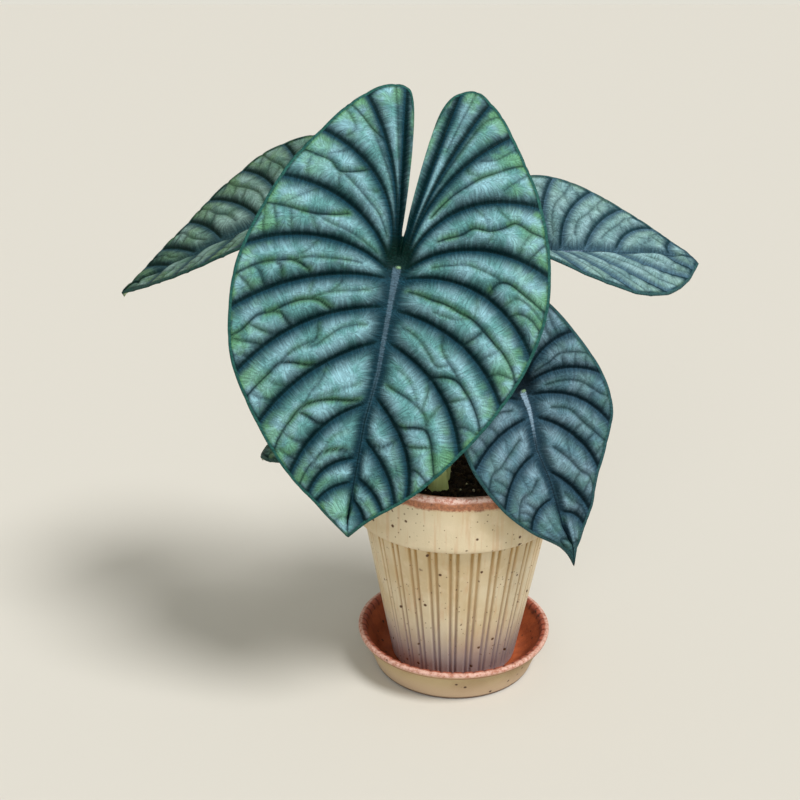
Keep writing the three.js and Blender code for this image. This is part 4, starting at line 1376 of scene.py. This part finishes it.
def make_soil():
    floor = SAUCER_FLOOR + SEAT_GAP + POT_FLOOR + SEAT_GAP
    edge = cavity_radius(SOIL_EDGE_HEIGHT) - SEAT_GAP
    rings, segments = 60, 240
    angles = turn(segments)
    radii = np.linspace(0.4, edge, rings)[:, None]
    x, y = radii * np.cos(angles), radii * np.sin(angles)
    top = np.stack([x, y, soil_height(x, y)], -1)
    low_radius = cavity_radius(floor) - SEAT_GAP
    low = [low_radius * np.cos(angles), low_radius * np.sin(angles), np.full(segments, floor)]
    points = np.concatenate([top, np.stack(low, -1)[None]])
    index = np.arange(points.shape[0] * segments).reshape(-1, segments)
    quads = sleeve(index)[:, [0, 3, 2, 1]]
    caps = [index[0][None], index[-1][None, ::-1]]
    look = soil_look("soil_dark", "#120d0a", "#33261d")
    make_piece("soil_bed", points.reshape(-1, 3), [quads, *caps], [look], ["soil"])
    crumb_look = soil_look("crumb_dark", "#1a130e", "#40301f")
    make_crumbs("soil_crumbs", crumb_look, count=900, sizes=(0.5, 1.9), seed=11)
    grit_look = soil_look("grit_pale", "#8d8068", "#c9bda2")
    make_crumbs("soil_grit", grit_look, count=70, sizes=(0.4, 1.0), seed=23)


def ball(level=2):
    """Points and triangles of a small round crumb."""
    shape = bmesh.new()
    bmesh.ops.create_icosphere(shape, subdivisions=level, radius=1)
    points = np.array([v.co for v in shape.verts])
    triangles = np.array([[v.index for v in f.verts] for f in shape.faces])
    shape.free()
    return points, triangles


def make_crumbs(name, look, count, sizes, seed):
    """Crumbs scattered on the soil by a seeded draw, clear of the stalks."""
    draw = np.random.default_rng(seed)
    base, triangles = ball()
    edge = cavity_radius(SOIL_EDGE_HEIGHT) - CRUMBS_FROM_WALL
    feet = np.array([stalk["foot"] for stalk in STALKS.values()])
    points, faces = [], []
    while len(points) < count:
        radius, angle = edge * math.sqrt(draw.random()), 2 * math.pi * draw.random()
        x, y = radius * math.cos(angle), radius * math.sin(angle)
        size = draw.uniform(*sizes)
        stretch = draw.uniform(0.6, 1.3, 3) * size
        warp = 1 + 0.25 * np.sin(base @ draw.uniform(-4, 4, (3, 1)) + draw.uniform(0, 6))
        if np.linalg.norm(feet - [x, y], axis=1).min() < CRUMBS_FROM_STALK + size:
            continue
        spot = [x, y, float(soil_height(np.array(x), np.array(y))) + 0.2 * size]
        faces.append(triangles + len(points) * len(base))
        points.append(base * stretch * warp + spot)
    make_piece(name, np.concatenate(points), [np.concatenate(faces)], [look])


# Stage

def place_in_scene(name, data):
    thing = bpy.data.objects.new(name, data)
    bpy.context.collection.objects.link(thing)
    return thing


def make_floor():
    mesh = bpy.data.meshes.new("floor")
    corners = [(x * FLOOR_REACH, y * FLOOR_REACH, 0) for x, y in ((-1, -1), (1, -1), (1, 1), (-1, 1))]
    mesh.from_pydata(corners, [], [(0, 1, 2, 3)])
    look = Look("floor_paint", roughness=0.8, specular=0.1)
    look.colour = "#d2cfc8"
    mesh.materials.append(look.finish())
    place_in_scene("floor", mesh)


def make_sun(name, direction, strength, spread, colour):
    data = bpy.data.lights.new(name, "SUN")
    data.energy = strength
    data.angle = math.radians(spread)
    data.color = colour
    lamp = place_in_scene(name, data)
    lamp.rotation_euler = Vector(direction).to_track_quat("Z", "Y").to_euler()


def make_room():
    """An even pale room, brighter at the horizon than overhead."""
    world = bpy.data.worlds.new("soft_room")
    world.use_nodes = True
    nodes, links = world.node_tree.nodes, world.node_tree.links
    place = nodes.new("ShaderNodeTexCoord")
    parts = nodes.new("ShaderNodeSeparateXYZ")
    fall = nodes.new("ShaderNodeMapRange")
    links.new(place.outputs["Generated"], parts.inputs[0])
    links.new(parts.outputs["Z"], fall.inputs["Value"])
    fall.inputs["From Max"].default_value = ROOM_BAND
    fall.inputs["To Min"].default_value = ROOM_AT_HORIZON
    fall.inputs["To Max"].default_value = ROOM_OVERHEAD
    background = nodes["Background"]
    background.inputs["Color"].default_value = paint("#f8f5e9")
    links.new(fall.outputs["Result"], background.inputs["Strength"])
    bpy.context.scene.world = world


def make_camera():
    data = bpy.data.cameras.new("camera")
    data.sensor_width = 36
    data.lens = CAMERA_LENS
    camera = place_in_scene("camera", data)
    camera.location = Vector(CAMERA_AT) * MM
    camera.rotation_euler = (math.radians(90 - CAMERA_PITCH), 0, 0)
    bpy.context.scene.camera = camera


bpy.context.scene.view_settings.view_transform = "Standard"
make_camera()
make_floor()
make_sun("key", direction=(0.5, -0.45, 1.0), strength=2.7, spread=22, colour=(1, 0.985, 0.96))
make_sun("fill", direction=(-0.15, -1.0, 0.4), strength=0.85, spread=40, colour=(0.94, 0.98, 1))
make_room()
make_leaves()
skin = stalk_look()
for stalk_name in STALKS:
    make_stalk(stalk_name, skin)
make_pot()
make_saucer()
make_soil()
